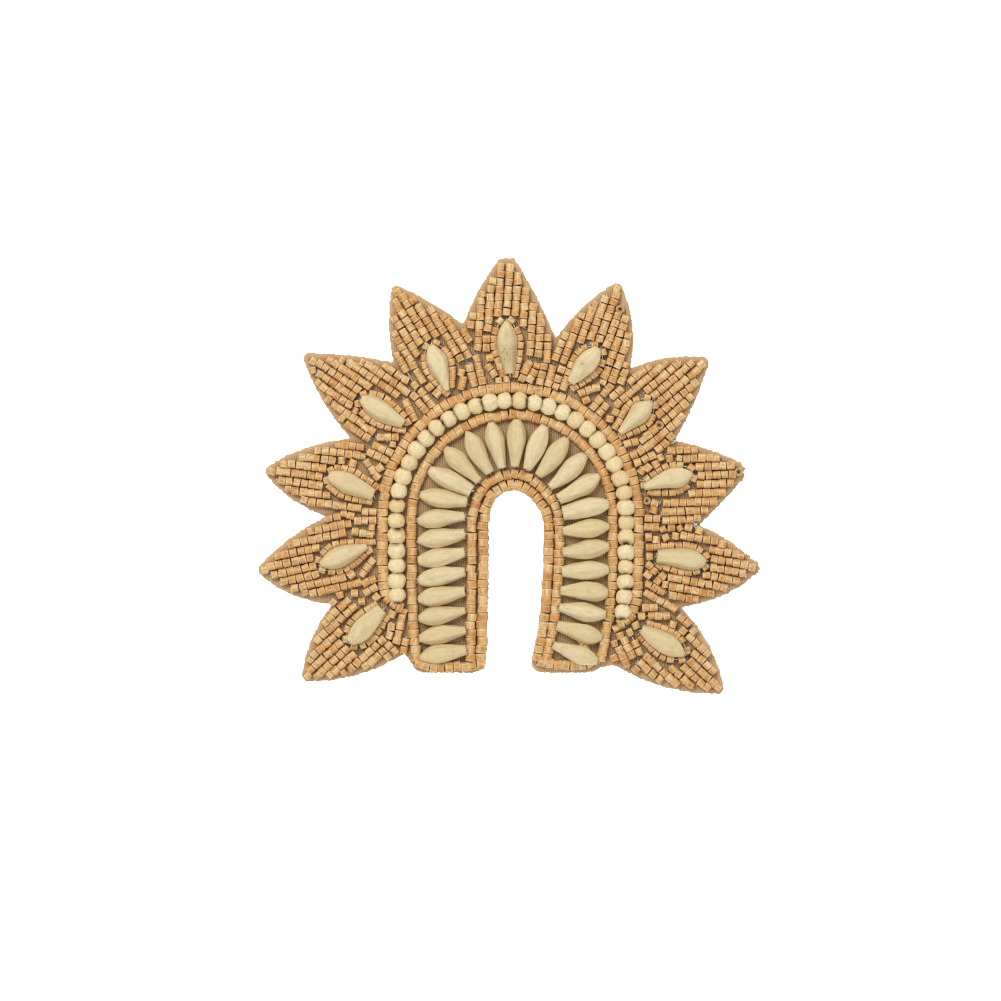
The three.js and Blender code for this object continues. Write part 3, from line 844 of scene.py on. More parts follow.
@dataclass(frozen=True)
class WoodFinish:
    """A cut and lightly dyed wood."""

    name: str
    tones: tuple[Tint, ...]
    dark: Tint
    # Colour of the painted shade at rims and holes, and of the real stains
    shade_and_stain: Tint
    # Colour of the painted shade on the beads' lower sides
    low_shade_tone: Tint
    ring_pitch: float
    fibre: float
    contrast: float
    pores: float
    # How strongly the painted highlight lightens the ends of a bead
    wear_and_highlight: float
    # How strongly the painted shade darkens the beads' lower sides
    low_shade: float
    # How strongly the painted shade darkens rims and holes
    rim_dirt: float
    roughness: float
    bump: float
    # Colour of the painted highlight towards the ends
    highlight_tone: Tint = (255, 234, 190)
    # Heights in metres over which the painted shade on the lower sides fades out upwards
    low_shade_heights: tuple[float, float] = (0.0030, 0.0042)
    gloss: float = 0.35
    bump_depth: float = 0.0004

    def material(self, grain: bpy.types.NodeTree, shade_and_stain_tree: bpy.types.NodeTree) -> bpy.types.Material:
        """Builds the finish.

        Args:
            grain: The group for cut wood.
            shade_and_stain_tree: The group for painted shade at rims and holes, and for real stains.

        Returns:
            The material, which reads each bead's own tone and place.
        """
        material, w = blank_material(self.name)
        place, tone = w.attribute("grain", "Vector"), w.attribute("tone")
        inputs = {"Place": place, "Tone": tone, "Ring Pitch": self.ring_pitch, "Fibre": self.fibre}
        cut = w.add("ShaderNodeGroup", inputs, node_tree=grain)
        # Painted shade at rims and holes, with the real stains on top
        inputs = {"Place": place, "Rim": w.attribute("rim"), "Stain": w.attribute("stain")}
        shade_and_stain = w.add("ShaderNodeGroup", inputs | {"Amount": self.rim_dirt}, node_tree=shade_and_stain_tree)
        ramp = w.add("ShaderNodeValToRGB", {0: tone})
        stops = ramp.color_ramp.elements
        for _ in range(len(self.tones) - 2):
            stops.new(0.5)
        for i, colour in enumerate(self.tones):
            stops[i].position = i / (len(self.tones) - 1)
            stops[i].color = linear(*colour)
        values = {0: cut.outputs["Shade"], 1: self.contrast}
        depth = w.add("ShaderNodeMath", values, operation="MULTIPLY", use_clamp=True).outputs[0]
        wood = w.mix(depth, ramp.outputs[0], linear(*self.dark))
        pored = w.mix(w.math("MULTIPLY", cut.outputs["Pores"], self.pores), wood, linear(*self.dark))
        # Painted highlight towards the ends of the bead
        highlighted = w.mix(w.math("MULTIPLY", cut.outputs["Worn"], self.wear_and_highlight), pored, linear(*self.highlight_tone))
        # Painted shade: darker towards the bottom of the bead, below the given heights
        metres = w.add("ShaderNodeSeparateXYZ", {0: w.add("ShaderNodeTexCoord").outputs["Object"]}).outputs[2]
        low_shaded = w.mix(w.ramp(metres, *self.low_shade_heights, self.low_shade, 0.0), highlighted, linear(*self.low_shade_tone))
        look = {
            "Base Color": w.mix(shade_and_stain.outputs["Mask"], low_shaded, linear(*self.shade_and_stain)),
            "Roughness": w.math("ADD", w.math("MULTIPLY", cut.outputs["Shade"], 0.12), self.roughness),
            "Specular IOR Level": self.gloss,
        }
        w.surface(look, cut.outputs["Height"], self.bump, self.bump_depth)
        return material


@dataclass(frozen=True)
class ClothFinish:
    """Ribbed cotton cloth."""

    name: str
    warp: Tint
    # Colour of the weave's low parts, which is painted shade there, and of the random mottle
    groove: Tint
    # Rim colour and its share: painted light, paler towards the cut edge, away from the beads' shade
    rim: Tint = (227, 188, 136)
    rim_light_share: float = 0.72
    rib_pitch: float = 0.95
    thread_pitch: float = 1.0
    roughness: float = 0.93
    bump: float = 0.8
    bump_depth: float = 0.00022

    def material(self, weave: bpy.types.NodeTree) -> bpy.types.Material:
        """Builds the finish around the weave group."""
        material, w = blank_material(self.name)
        place = w.millimetres()
        inputs = {"Place": place, "Rib Pitch": self.rib_pitch, "Thread Pitch": self.thread_pitch}
        cloth = w.add("ShaderNodeGroup", inputs, node_tree=weave)
        # Painted shade in the weave: the groove colour where the weave is low
        woven = w.mix(cloth.outputs["Height"], linear(*self.groove), linear(*self.warp))
        fuzzed = w.mix(w.math("MULTIPLY", cloth.outputs["Fuzz"], 0.35), woven, linear(*self.warp))
        # Painted light: paler towards the cloth's cut edge
        pale = w.mix(w.math("MULTIPLY", w.attribute("rim"), self.rim_light_share), fuzzed, linear(*self.rim))
        mottle = w.math("MULTIPLY", w.noise(place, 0.12, 3.0), 0.3)
        look = {
            "Base Color": w.mix(mottle, pale, linear(*self.groove)),
            "Roughness": self.roughness,
            "Sheen Weight": 0.25,
            "Sheen Roughness": 0.5,
        }
        height = w.math("ADD", cloth.outputs["Height"], w.math("MULTIPLY", cloth.outputs["Fuzz"], 0.3))
        w.surface(look, height, self.bump, self.bump_depth)
        return material


@dataclass(frozen=True)
class ThreadFinish:
    """Off-white sewing cotton."""

    name: str
    bright: Tint
    dull: Tint
    roughness: float = 0.8
    bump: float = 0.4
    bump_depth: float = 0.0001

    def material(self) -> bpy.types.Material:
        """Builds the finish, with fine twist and soiling."""
        material, w = blank_material(self.name)
        place = w.millimetres()
        colour = w.mix(w.noise(place, 0.5, 3.0), linear(*self.bright), linear(*self.dull))
        look = {"Base Color": colour, "Roughness": self.roughness}
        w.surface(look, w.noise(place, 6.0, 2.0), self.bump, self.bump_depth)
        return material


# ---- Small barrel beads


@dataclass
class BarrelBeads:
    """Short lengths of turned wood with a hole through them, sewn in strands and rows."""

    material: bpy.types.Material
    sides: int = 10
    shapes: int = 6
    tumble: float = 0.09
    upright_turn: float = 1.35
    seed: int = 5

    def __post_init__(self) -> None:
        """Makes the bead shapes and the tree that sews them."""
        self.draw = random.Random(self.seed)
        self.samples = [self.sample(number) for number in range(self.shapes)]
        self.tree = self.sewing_tree()

    def sample(self, number: int) -> bpy.types.Object:
        """One bead shape of length and width one, along X, with its own uneven cut.

        Args:
            number: Which of the shapes it is.

        Returns:
            The object that the sewing tree copies.
        """
        end = [(-0.5, 0.15), (-0.5, 0.40), (-0.475, 0.455), (-0.415, 0.488)]
        rings = end + [(-x, radius) for x, radius in reversed(end)]
        # Painted shade for each ring: darkest round the hole and on the bevels where neighbouring beads meet
        shade_and_stain = [0.9, 0.2, 0.75, 0.0, 0.0, 0.75, 0.2, 0.9]
        taper = self.draw.uniform(-0.05, 0.05)
        slants = [complex(self.draw.gauss(0, 0.07), self.draw.gauss(0, 0.07)) for _ in (0, 1)]
        oval = self.draw.uniform(-0.05, 0.05)
        knocks = [self.draw.uniform(-0.025, 0.02) for _ in range(self.sides)]
        vertices, rims = [], []
        for ring, (x, radius) in enumerate(rings):
            slant = slants[0] if x < 0 else slants[1]
            for k in range(self.sides):
                turn = 2 * math.pi * k / self.sides
                size = radius * (1 + taper * x * 2 + oval * math.cos(2 * turn))
                size += knocks[k] if radius > 0.2 else 0
                y, z = size * math.cos(turn), size * math.sin(turn)
                vertices.append((x + slant.real * y + slant.imag * z, y, z))
                rims.append(shade_and_stain[ring])
        firsts = [ring * self.sides for ring in range(len(rings))]
        faces = [face for a, b in zip(firsts, firsts[1:] + firsts[:1]) for face in band(a, b, self.sides)]
        piece = make_piece(f"barrel_shape_{number}", np.array(vertices) / MM, faces)
        store(piece, "grain", np.array(vertices) * 3.3, "FLOAT_VECTOR")
        store(piece, "rim", rims)
        sharp = piece.data.attributes.new("sharp_edge", "BOOLEAN", "EDGE")
        for edge, flag in zip(piece.data.edges, sharp.data):
            first, second = (vertex // self.sides for vertex in edge.vertices)
            flag.value = first == second and first in (1, len(rings) - 2)
        return piece

    def sewing_tree(self) -> bpy.types.NodeTree:
        """The tree that puts a bead of the asked shape, size and turn on each point."""
        inputs = {"Places": "NodeSocketGeometry"}
        inputs |= {f"Shape {number}": "NodeSocketObject" for number in range(self.shapes)}
        inputs |= {"Tumble": "NodeSocketFloat", "Seed": "NodeSocketInt", "Finish": "NodeSocketMaterial"}
        tree = named_tree("bead_sewing", "GeometryNodeTree", inputs, {"Beads": "NodeSocketGeometry"})
        w = Wiring(tree)
        given = w.add("NodeGroupInput").outputs
        less = w.math("MULTIPLY", given["Tumble"], -1.0)
        spread = {0: less, 1: given["Tumble"], "Seed": given["Seed"]}
        loose = w.add("FunctionNodeRandomValue", spread, data_type="FLOAT_VECTOR").outputs[0]
        turn = w.add("GeometryNodeInputNamedAttribute", {"Name": "turn"}, data_type="FLOAT_VECTOR").outputs[0]
        span = w.add("GeometryNodeInputNamedAttribute", {"Name": "span"}, data_type="FLOAT_VECTOR").outputs[0]
        shape = w.add("GeometryNodeInputNamedAttribute", {"Name": "shape"}, data_type="INT").outputs[0]
        euler = w.add("ShaderNodeVectorMath", {0: turn, 1: loose}, operation="ADD").outputs[0]
        rotation = w.add("FunctionNodeEulerToRotation", {0: euler}).outputs[0]
        join = w.add("GeometryNodeJoinGeometry")
        for number in range(self.shapes):
            taken = {"Object": given[f"Shape {number}"], "As Instance": True}
            source = w.add("GeometryNodeObjectInfo", taken)
            chosen = w.add("FunctionNodeCompare", {2: shape, 3: number}, data_type="INT", operation="EQUAL")
            sewn = w.add(
                "GeometryNodeInstanceOnPoints",
                {
                    "Points": given["Places"],
                    "Selection": chosen.outputs[0],
                    "Instance": source.outputs["Geometry"],
                    "Rotation": rotation,
                    "Scale": span,
                },
            )
            tree.links.new(sewn.outputs[0], join.inputs[0])
        real = w.add("GeometryNodeRealizeInstances", {0: join.outputs[0]})
        done = w.add("GeometryNodeSetMaterial", {0: real.outputs[0], "Material": given["Finish"]})
        w.add("NodeGroupOutput", {0: done.outputs[0]})
        return tree

    def sew(self, name: str, beads: list[Bead], nodes: list[str], dye: float = 0.5) -> bpy.types.Object:
        """Makes one piece of small beads.

        Args:
            name: The piece's name.
            beads: Where its beads lie.
            nodes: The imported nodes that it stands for.
            dye: The middle of the beads' tones, from 0 to 1.

        Returns:
            The dressed piece.
        """
        places = [(bead.at.real, bead.at.imag, bead.rise) for bead in beads]
        piece = make_piece(name, places, [])
        spin = [self.draw.uniform(0, 2 * math.pi) for _ in beads]
        turns = [
            (roll, self.upright_turn if bead.upright else 0.0, math.atan2(bead.way.imag, bead.way.real))
            for bead, roll in zip(beads, spin)
        ]
        store(piece, "turn", turns, "FLOAT_VECTOR")
        spans = [(bead.length * MM, bead.width * MM, bead.width * MM) for bead in beads]
        store(piece, "span", spans, "FLOAT_VECTOR")
        store(piece, "shape", [self.draw.randrange(self.shapes) for _ in beads], "INT")
        tones = [min(1.0, max(0.0, self.draw.gauss(dye, 0.2))) for _ in beads]
        store(piece, "tone", tones)
        values: dict[str, Any] = {f"Shape {k}": shape for k, shape in enumerate(self.samples)}
        values |= {"Tumble": self.tumble, "Seed": self.draw.randrange(1000), "Finish": self.material}
        bake_nodes(piece, self.tree, values)
        return dress(piece, nodes)

    def clear_samples(self) -> None:
        """Takes the bead shapes out of the scene again."""
        for sample in self.samples:
            bpy.data.objects.remove(sample)


def dress(piece: bpy.types.Object, nodes: list[str]) -> bpy.types.Object:
    """Fixes a piece to the applique and the nodes that it stands for."""
    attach(piece, "root")
    if nodes:
        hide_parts(*nodes)
    log.info("%s: %d faces", piece.name, len(piece.data.polygons))
    return piece


# ---- Marquise beads and round beads


@dataclass
class MarquiseBeads:
    """Spindles whittled from pale wood, blunt and frayed at both ends, with a hole along them."""

    material: bpy.types.Material
    sides: int = 28
    steps: int = 34
    fray: float = 0.5
    seed: int = 23

    def carve(
        self,
        name: str,
        spindle: Spindle,
        middle_height: float,
        number: int,
        stains: tuple[tuple[float, float, float, float], ...] = (),
    ) -> bpy.types.Object:
        """Carves one bead.

        Args:
            name: The piece's name.
            spindle: Its place and size.
            middle_height: The height of its middle.
            number: Seeds its own shape.
            stains: Dark marks as share along, share across, reach in millimetres and strength.

        Returns:
            The mesh object, still undressed.
        """
        draw = random.Random(self.seed + 7 * number)
        shift, skew, lean = draw.uniform(-0.28, -0.04), draw.uniform(0.02, 0.12), draw.uniform(0, 6.28)
        facets = draw.choice((5, 6, 6, 7))
        wedge = 2 * math.pi / facets
        facet_turn, twist = (wedge - math.pi) / 2 + draw.gauss(0, 0.22), draw.uniform(-0.3, 0.3)
        bow = draw.uniform(-0.09, 0.09)
        powers = (draw.uniform(1.25, 1.7), draw.uniform(1.7, 2.5))
        places, rims = [], []
        for i in range(self.steps + 1):
            even = i / self.steps - 0.5
            share = math.sin(even * math.pi) * 0.35 + even * 2 * 0.65
            for k in range(self.sides):
                turn = 2 * math.pi * k / self.sides
                size = spindle.fullness(share, shift + skew * math.cos(turn - lean), powers)
                local = (turn + facet_turn + twist * share) % wedge - wedge / 2
                flat = math.cos(wedge / 2) / math.cos(local) / math.cos(wedge / 4)
                rim_y, rim_z = math.cos(turn), math.sin(turn)
                dent = noise.noise(Vector((share * 2.6, rim_y * 1.2, rim_z * 1.2 + number * 7.3)))
                radius = size * (1 + 0.9 * (flat - 1) * (1 - share**6) + 0.05 * dent)
                ragged = 0.0
                if i < 2 or i > self.steps - 2:
                    ragged = self.fray * noise.noise(Vector((rim_y * 3, rim_z * 3, number + i)))
                    ragged += self.fray * 0.6 * (draw.random() - 0.5)
                    radius *= 1 + 0.16 * (draw.random() - 0.5)
                along = share * spindle.length / 2 + math.copysign(ragged, share)
                places.append((along, radius * rim_y + bow * (1 - share * share), radius * rim_z))
                # Painted shade, growing over the outermost few hundredths of the length at each end
                rims.append(max(0.0, (abs(share) - 0.94) / 0.06) * 0.5)
        rings = np.array(places).reshape(self.steps + 1, self.sides, 3)
        widest = np.ptp(rings[:, :, 1], axis=1).max()
        low, high = rings.min((0, 1)), rings.max((0, 1))
        broad = 1.03 * spindle.width * (high[1] - low[1]) / widest
        true_size = np.array([high[0] - low[0], broad, spindle.height])
        rings = (rings - (low + high) / 2) * true_size / (high - low)
        places = [tuple(place) for place in rings.reshape(-1, 3)]
        firsts = [ring * self.sides for ring in range(self.steps + 1)]
        faces = [face[::-1] for a, b in zip(firsts, firsts[1:]) for face in band(a, b, self.sides)]
        # The dished ends and their holes take the strongest painted shade
        for end, side in ((0, -1), (self.steps, 1)):
            outer = places[end * self.sides : (end + 1) * self.sides]
            first = len(places)
            middle = np.mean(outer, axis=0)
            for depth, shrink in ((0.35, 0.62), (0.45, 0.4), (1.6, 0.3)):
                for point in outer:
                    place = middle + (np.array(point) - middle) * shrink
                    place[0] = middle[0] - side * depth * (0.6 if shrink > 0.5 else 1.0)
                    places.append(tuple(place))
                    rims.append(1.3)
            places.append((middle[0] - side * 1.7, middle[1], middle[2]))
            rims.append(1.3)
            faces += self.cap_faces([end * self.sides, first], first + 3 * self.sides, side > 0)
        vertices = [
            raised(spindle.centre + spindle.way * complex(x, y), middle_height + z) for x, y, z in places
        ]
        piece = make_piece(name, vertices, faces)
        rise = draw.gauss(math.pi / 2, 0.45)
        off = draw.uniform(9, 17) * turned(rise)
        grain = [(x + number * 13.0, y + off.real, z + off.imag) for x, y, z in places]
        store(piece, "grain", grain, "FLOAT_VECTOR")
        store(piece, "rim", rims)
        store(piece, "tone", [draw.uniform(0.1, 0.9)] * len(places))
        dark = [0.0] * len(places)
        for along, across, reach, strength in stains:
            spot = np.array([along * spindle.length / 2, across * spindle.width / 2])
            for k, place in enumerate(places):
                if place[2] > 0:
                    gap = np.hypot(place[0] - spot[0], place[1] - spot[1]) / reach
                    dark[k] = max(dark[k], strength * math.exp(-gap * gap))
        store(piece, "stain", dark)
        piece.data.materials.append(self.material)
        return piece

    def cap_faces(self, firsts: list[int], middle: int, outward: bool) -> list[tuple[int, ...]]:
        """The faces of a dished end, down to the bottom of its hole.

        Args:
            firsts: The first vertex of the bead's last ring and of the dish's first one.
            middle: The vertex at the bottom of the hole.
            outward: Whether the end is the bead's outer one.

        Returns:
            The faces, seen from outside.
        """
        rings = [firsts[0], *range(firsts[1], middle, self.sides)]
        faces = [face for a, b in zip(rings, rings[1:]) for face in band(a, b, self.sides)]
        faces += [(rings[-1] + k, rings[-1] + (k + 1) % self.sides, middle) for k in range(self.sides)]
        return [face[::-1] for face in faces] if outward else faces


@dataclass
class RoundBeads:
    """Pale round beads threaded in one row, rough from the knife."""

    material: bpy.types.Material
    diameters: tuple[float, float] = (6.6, 7.5)
    cut_reach: tuple[float, float] = (0.89, 0.97)
    hole: float = 0.17
    bands: int = 16
    sides: int = 22
    cuts: int = 16
    seed: int = 41

    def string(self, name: str, middles: list[complex], height: float) -> bpy.types.Object:
        """Carves the beads of the row.

        Args:
            name: The piece's name.
            middles: Where the beads are, in order.
            height: The height of their middles.

        Returns:
            The mesh object, still undressed.
        """
        draw = random.Random(self.seed)
        vertices, faces, grain, rims, tones = [], [], [], [], []
        for number, middle in enumerate(middles):
            ahead = middles[min(number + 1, len(middles) - 1)] - middles[max(number - 1, 0)]
            way = unit(ahead) * complex(math.cos(draw.gauss(0, 0.08)), math.sin(draw.gauss(0, 0.08)))
            size = draw.uniform(*self.diameters) / 2
            flat, nod = draw.uniform(0.95, 1.04), turned(draw.gauss(0, 0.22))
            cuts = [
                (Vector([draw.gauss(0, 1) for _ in range(3)]).normalized(), draw.uniform(*self.cut_reach))
                for _ in range(self.cuts)
            ]
            start, tone = len(vertices), draw.random()
            for band_number in range(self.bands + 1):
                slope = self.hole + (math.pi - 2 * self.hole) * band_number / self.bands
                for k in range(self.sides):
                    turn = 2 * math.pi * k / self.sides
                    direction = Vector((0, math.cos(turn), math.sin(turn))) * math.sin(slope)
                    direction.x = -math.cos(slope)
                    rough = noise.noise(direction * 1.6 + Vector((number * 3.1, 0, 0))) * 0.07
                    rough += noise.noise(direction * 4.5 + Vector((0, number * 5.7, 0))) * 0.04
                    facing = [far / direction.dot(cut) for cut, far in cuts if direction.dot(cut) > 0.7]
                    reach = min([1.0] + facing)
                    local = direction * size * reach * (1 + rough)
                    tipped = complex(local.x * flat, local.z) * nod
                    local.x, local.z = tipped.real, tipped.imag
                    vertices.append(raised(middle + way * complex(local.x, local.y), height + local.z * 0.96))
                    grain.append((local.x + number * 9.0, local.y + 4 + tone * 3, local.z + 6 - tone * 5))
                    # Painted shade: darker in the bands next to the holes, where neighbouring beads touch;
                    # the second term darkens the deeper knife cuts
                    nearness = min(band_number, self.bands - band_number)
                    rims.append(max(0.0, 1.4 - 0.4 * nearness) + 2.2 * max(0.0, 0.9 - reach))
                    tones.append(tone)
            firsts = [start + ring * self.sides for ring in range(self.bands + 1)]
            for here, there in zip(firsts, firsts[1:] + firsts[:1]):
                faces += [(a, d, c, b) for a, b, c, d in band(here, there, self.sides)]
        piece = make_piece(name, vertices, faces)
        store(piece, "grain", grain, "FLOAT_VECTOR")
        store(piece, "rim", rims)
        store(piece, "tone", tones)
        piece.data.materials.append(self.material)
        return piece


# ---- Cloth and thread


@dataclass
class ClothBacking:
    """Ribbed cloth, glued double and cut out round the beads."""

    ground: Ground
    material: bpy.types.Material
    thickness: float = CLOTH_TOP
    step: float = 1.5
    rim_step: float = 0.7
    fray: float = 0.42
    tip_reach: float = 4.5

    def cut(self, name: str) -> bpy.types.Object:
        """Cuts the cloth out and gives it its slight waves and soft edge.

        Args:
            name: The piece's name.

        Returns:
            The mesh object, still undressed.
        """
        rim = divided(self.ground.outline, self.rim_step)
        for _ in range(3):
            rim = relaxed(rim)
        frayed = []
        for i, place in enumerate(rim):
            side = unit(rim[(i + 1) % len(rim)] - rim[i - 1]) * -1j
            nearness = max(math.exp(-((abs(place - tip) / self.tip_reach) ** 2)) for tip in RAGGED_TIPS)
            shake = noise.noise(Vector((place.real * 0.8, place.imag * 0.8, 0))) * self.fray
            shake += noise.noise(Vector((place.real * 2.1, place.imag * 2.1, 5))) * self.fray * 0.6
            frayed.append(place + side * (shake * (1 + 2.6 * nearness) - 0.05))
        corner = np.array(frayed)
        grid = np.array(
            [
                complex(x + (j % 2) * self.step / 2, y)
                for j, y in enumerate(np.arange(corner.imag.min(), corner.imag.max(), self.step * 0.87))
                for x in np.arange(corner.real.min(), corner.real.max(), self.step)
            ]
        )
        inner = grid[self.ground.depth(grid) > 0.75]
        points = [Vector((p.real, p.imag)) for p in [*frayed, *inner]]
        loop = list(range(len(frayed)))
        edges = [(i, (i + 1) % len(loop)) for i in loop]
        flat, _, faces, _, _, _ = delaunay_2d_cdt(points, edges, [loop], 1, 1e-5)
        plan = np.array([complex(p.x, p.y) for p in flat])
        depth = np.maximum(self.ground.depth(plan), 0)
        count = len(plan)
        top, bottom = [], []
        for place, inside in zip(plan, depth):
            wave = noise.noise(Vector((place.real * 0.16, place.imag * 0.16, 3.0)))
            pucker = noise.noise(Vector((place.real * 0.7, place.imag * 0.7, 9.0)))
            soft = min(1.0, inside / 0.7)
            top.append(raised(place, self.thickness * (0.72 + 0.28 * soft) + 0.1 * pucker * soft))
            bottom.append(raised(place, 0.14 + 0.1 * (1 - soft) + 0.04 * wave))
        mesh_faces = [tuple(face) for face in faces]
        mesh_faces += [tuple(count + v for v in reversed(face)) for face in faces]
        used = dict.fromkeys((a, b) for face in faces for a, b in zip(face, [*face[1:], face[0]]))
        mesh_faces += [(b, a, count + a, count + b) for a, b in used if (b, a) not in used]
        piece = make_piece(name, top + bottom, mesh_faces)
        # Painted light: paler within about 2.5 mm of the cut edge, less on the underside
        pale = np.clip(1.6 - depth / 1.6, 0, 1)
        store(piece, "rim", np.concatenate([pale, pale * 0.3]))
        piece.data.materials.append(self.material)
        return piece


@dataclass
class Threads:
    """Sewing cotton: the strings through the beads, the loops over the rows and the back stitches."""

    material: bpy.types.Material
    sides: int = 6

    def __post_init__(self) -> None:
        """Makes the tree that gives a line its thickness."""
        inputs = {"Lines": "NodeSocketGeometry", "Radius": "NodeSocketFloat"}
        inputs |= {"Sides": "NodeSocketInt", "Finish": "NodeSocketMaterial"}
        tree = named_tree("thread_line", "GeometryNodeTree", inputs, {"Thread": "NodeSocketGeometry"})
        w = Wiring(tree)
        given = w.add("NodeGroupInput").outputs
        curve = w.add("GeometryNodeMeshToCurve", {0: given["Lines"]})
        size = {"Resolution": given["Sides"], "Radius": given["Radius"]}
        profile = w.add("GeometryNodeCurvePrimitiveCircle", size)
        swept = {0: curve.outputs[0], 1: profile.outputs[0], "Fill Caps": True}
        tube = w.add("GeometryNodeCurveToMesh", swept)
        smooth = w.add("GeometryNodeSetShadeSmooth", {0: tube.outputs[0]})
        real = w.add("GeometryNodeRealizeInstances", {0: smooth.outputs[0]})
        done = w.add("GeometryNodeSetMaterial", {0: real.outputs[0], "Material": given["Finish"]})
        w.add("NodeGroupOutput", {0: done.outputs[0]})
        self.tree = tree

    def lay(self, name: str, lines: list[Line], radius: float) -> bpy.types.Object:
        """Lays threads along lines.

        Args:
            name: The piece's name.
            lines: The points of each thread, in millimetres.
            radius: The thread's radius, in millimetres.

        Returns:
            The mesh object, still undressed.
        """
        points: Line = []
        edges: list[tuple[int, int]] = []
        for line in lines:
            first = len(points)
            points += line
            edges += [(first + i, first + i + 1) for i in range(len(line) - 1)]
        piece = make_piece(name, points, [], edges)
        bake_nodes(piece, self.tree, {"Radius": radius * MM, "Sides": self.sides, "Finish": self.material})
        return piece


@dataclass
class Stitching:
    """Works out where the threads lie, from the rows and strands of beads."""

    loop_every: float = 5.0
    loop_odds: float = 0.75
    seed: int = 77

    def __post_init__(self) -> None:
        """Starts the draws."""
        self.draw = random.Random(self.seed)

    def strings(self, strands: list[list[Bead]]) -> list[Line]:
        """The threads through the holes of the beads, strand by strand."""
        lines = []
        for strand in strands:
            if len(strand) < 2:
                continue
            start, end = strand[0], strand[-1]
            first = start.at - unit(strand[1].at - start.at) * start.length * 0.72
            last = end.at + unit(end.at - strand[-2].at) * end.length * 0.72
            holes = [raised(bead.at, bead.rise - 0.1) for bead in strand]
            lines.append([raised(first, CLOTH_TOP + 0.05), *holes, raised(last, CLOTH_TOP + 0.05)])
        return lines

    @staticmethod
    def curl(at: complex, ahead: complex, bend: float, heights: list[float]) -> Line:
        """A line that bends evenly as it runs.

        Args:
            at: Where it starts.
            ahead: Its first step.
            bend: Radians that it turns at each step.
            heights: The heights of its points.

        Returns:
            Its points.
        """
        line = []
        for height in heights:
            line.append(raised(at, height))
            at += ahead
            ahead *= turned(bend)
        return line

    def loop_over(self, at: complex, across: complex, half: float, top: float) -> Line:
        """One loop of thread over a row, from the cloth on one side to the cloth on the other.

        Args:
            at: Where it crosses the row.
            across: The way it crosses, at length one.
            half: Half the width that it spans.
            top: Its greatest height.

        Returns:
            The points of the loop.
        """
        line = []
        skew = self.draw.uniform(-0.35, 0.35)
        for i in range(9):
            turn = math.pi * i / 8
            side = -math.cos(turn) * half
            place = at + across * complex(side, skew * side / half)
            line.append(raised(place, CLOTH_TOP + (top - CLOTH_TOP) * math.sin(turn) ** 0.6))
        return line

    def row_loops(self, row: list[Bead]) -> list[Line]:
        """Loops over a row, about once in so many beads, with some left out."""
        lines = []
        place = self.draw.uniform(0.5, self.loop_every)
        while place < len(row) - 1:
            i = int(place)
            if self.draw.random() < self.loop_odds:
                middle = (row[i].at + row[i + 1].at) / 2
                across = unit(row[i + 1].at - row[i].at) * 1j
                top = self.draw.uniform(4.3, 4.9)
                along = across * -0.22j
                lines.append(self.loop_over(middle - along, across, 1.8, top))
                lines.append(self.loop_over(middle + along, across, 1.8, top - 0.1))
            place += self.loop_every * self.draw.uniform(0.7, 1.3)
        return lines

    def tufts(self, places: tuple[complex, ...]) -> list[Line]:
        """Small tangles of knotted cotton between the beads."""
        lines = []
        for place in places:
            for _ in range(5):
                at = place + complex(self.draw.gauss(0, 0.5), self.draw.gauss(0, 0.5))
                turn, line = self.draw.uniform(0, 6.28), []
                for _ in range(6):
                    line.append(raised(at, self.draw.uniform(2.2, 3.9)))
                    at += 0.45 * turned(turn)
                    turn += self.draw.uniform(-1.6, 1.6)
                lines.append(line)
        return lines

    def loose_ends(self, spindles: list[Spindle], height: float) -> list[Line]:
        """Short frayed ends where a marquise bead is tied down."""
        lines = []
        for spindle in spindles:
            for side in (-1, 1):
                for _ in range(self.draw.choice((1, 2, 2, 3))):
                    start = spindle.centre + spindle.way * side * (spindle.length / 2 - 0.6)
                    ahead = spindle.way * side * turned(self.draw.gauss(0, 0.5))
                    bend = self.draw.uniform(-0.5, 0.5) / 4
                    ahead *= self.draw.uniform(1.2, 2.4) / 4
                    heights = [height - 2.6 * (i / 4) ** 2 for i in range(5)]
                    lines.append(self.curl(start, ahead, bend, heights))
        return lines

    def ties(self, strands: list[list[Bead]], count: int) -> list[Line]:
        """Loops of thread that show here and there where a strand of a petal is tied down."""
        lines = []
        ends = [strand for strand in strands if len(strand) > 1]
        for strand in self.draw.sample(ends, min(count, len(ends))):
            k = self.draw.choice((0, len(strand) - 1, self.draw.randrange(len(strand))))
            bead = strand[k]
            side = 1 if k else -1
            middle = bead.at + bead.way * side * (bead.length / 2 + 0.15)
            half = self.draw.uniform(0.5, 1.15)
            middle += bead.way * 1j * self.draw.uniform(-1.2, 1.2)
            lines.append(self.loop_over(middle, bead.way * 1j, half, self.draw.uniform(2.4, 3.6)))
        return lines

    def fibres(self, ground: Ground, count: int) -> list[Line]:
        """Fine fibres that stand out of the cloth's cut edge."""
        lines = []
        lengths = np.abs(ground.edges)
        for _ in range(count):
            edge = self.draw.choices(range(len(lengths)), weights=lengths)[0]
            side = unit(complex(ground.edges[edge])) * 1j
            place = complex(ground.starts[edge] + ground.edges[edge] * self.draw.random())
            if ground.depth(np.array([place + side * 0.2]))[0] > 0:
                side = -side
            ahead = side * turned(self.draw.gauss(0, 0.7))
            height, length = self.draw.uniform(0.5, 1.2), self.draw.uniform(0.5, 1.3)
            bend = self.draw.gauss(0, 0.8) / 3
            heights = [height + 0.1 * i * self.draw.uniform(-1, 1) for i in range(4)]
            lines.append(self.curl(place - side * 0.5, ahead * length / 3, bend, heights))
        return lines

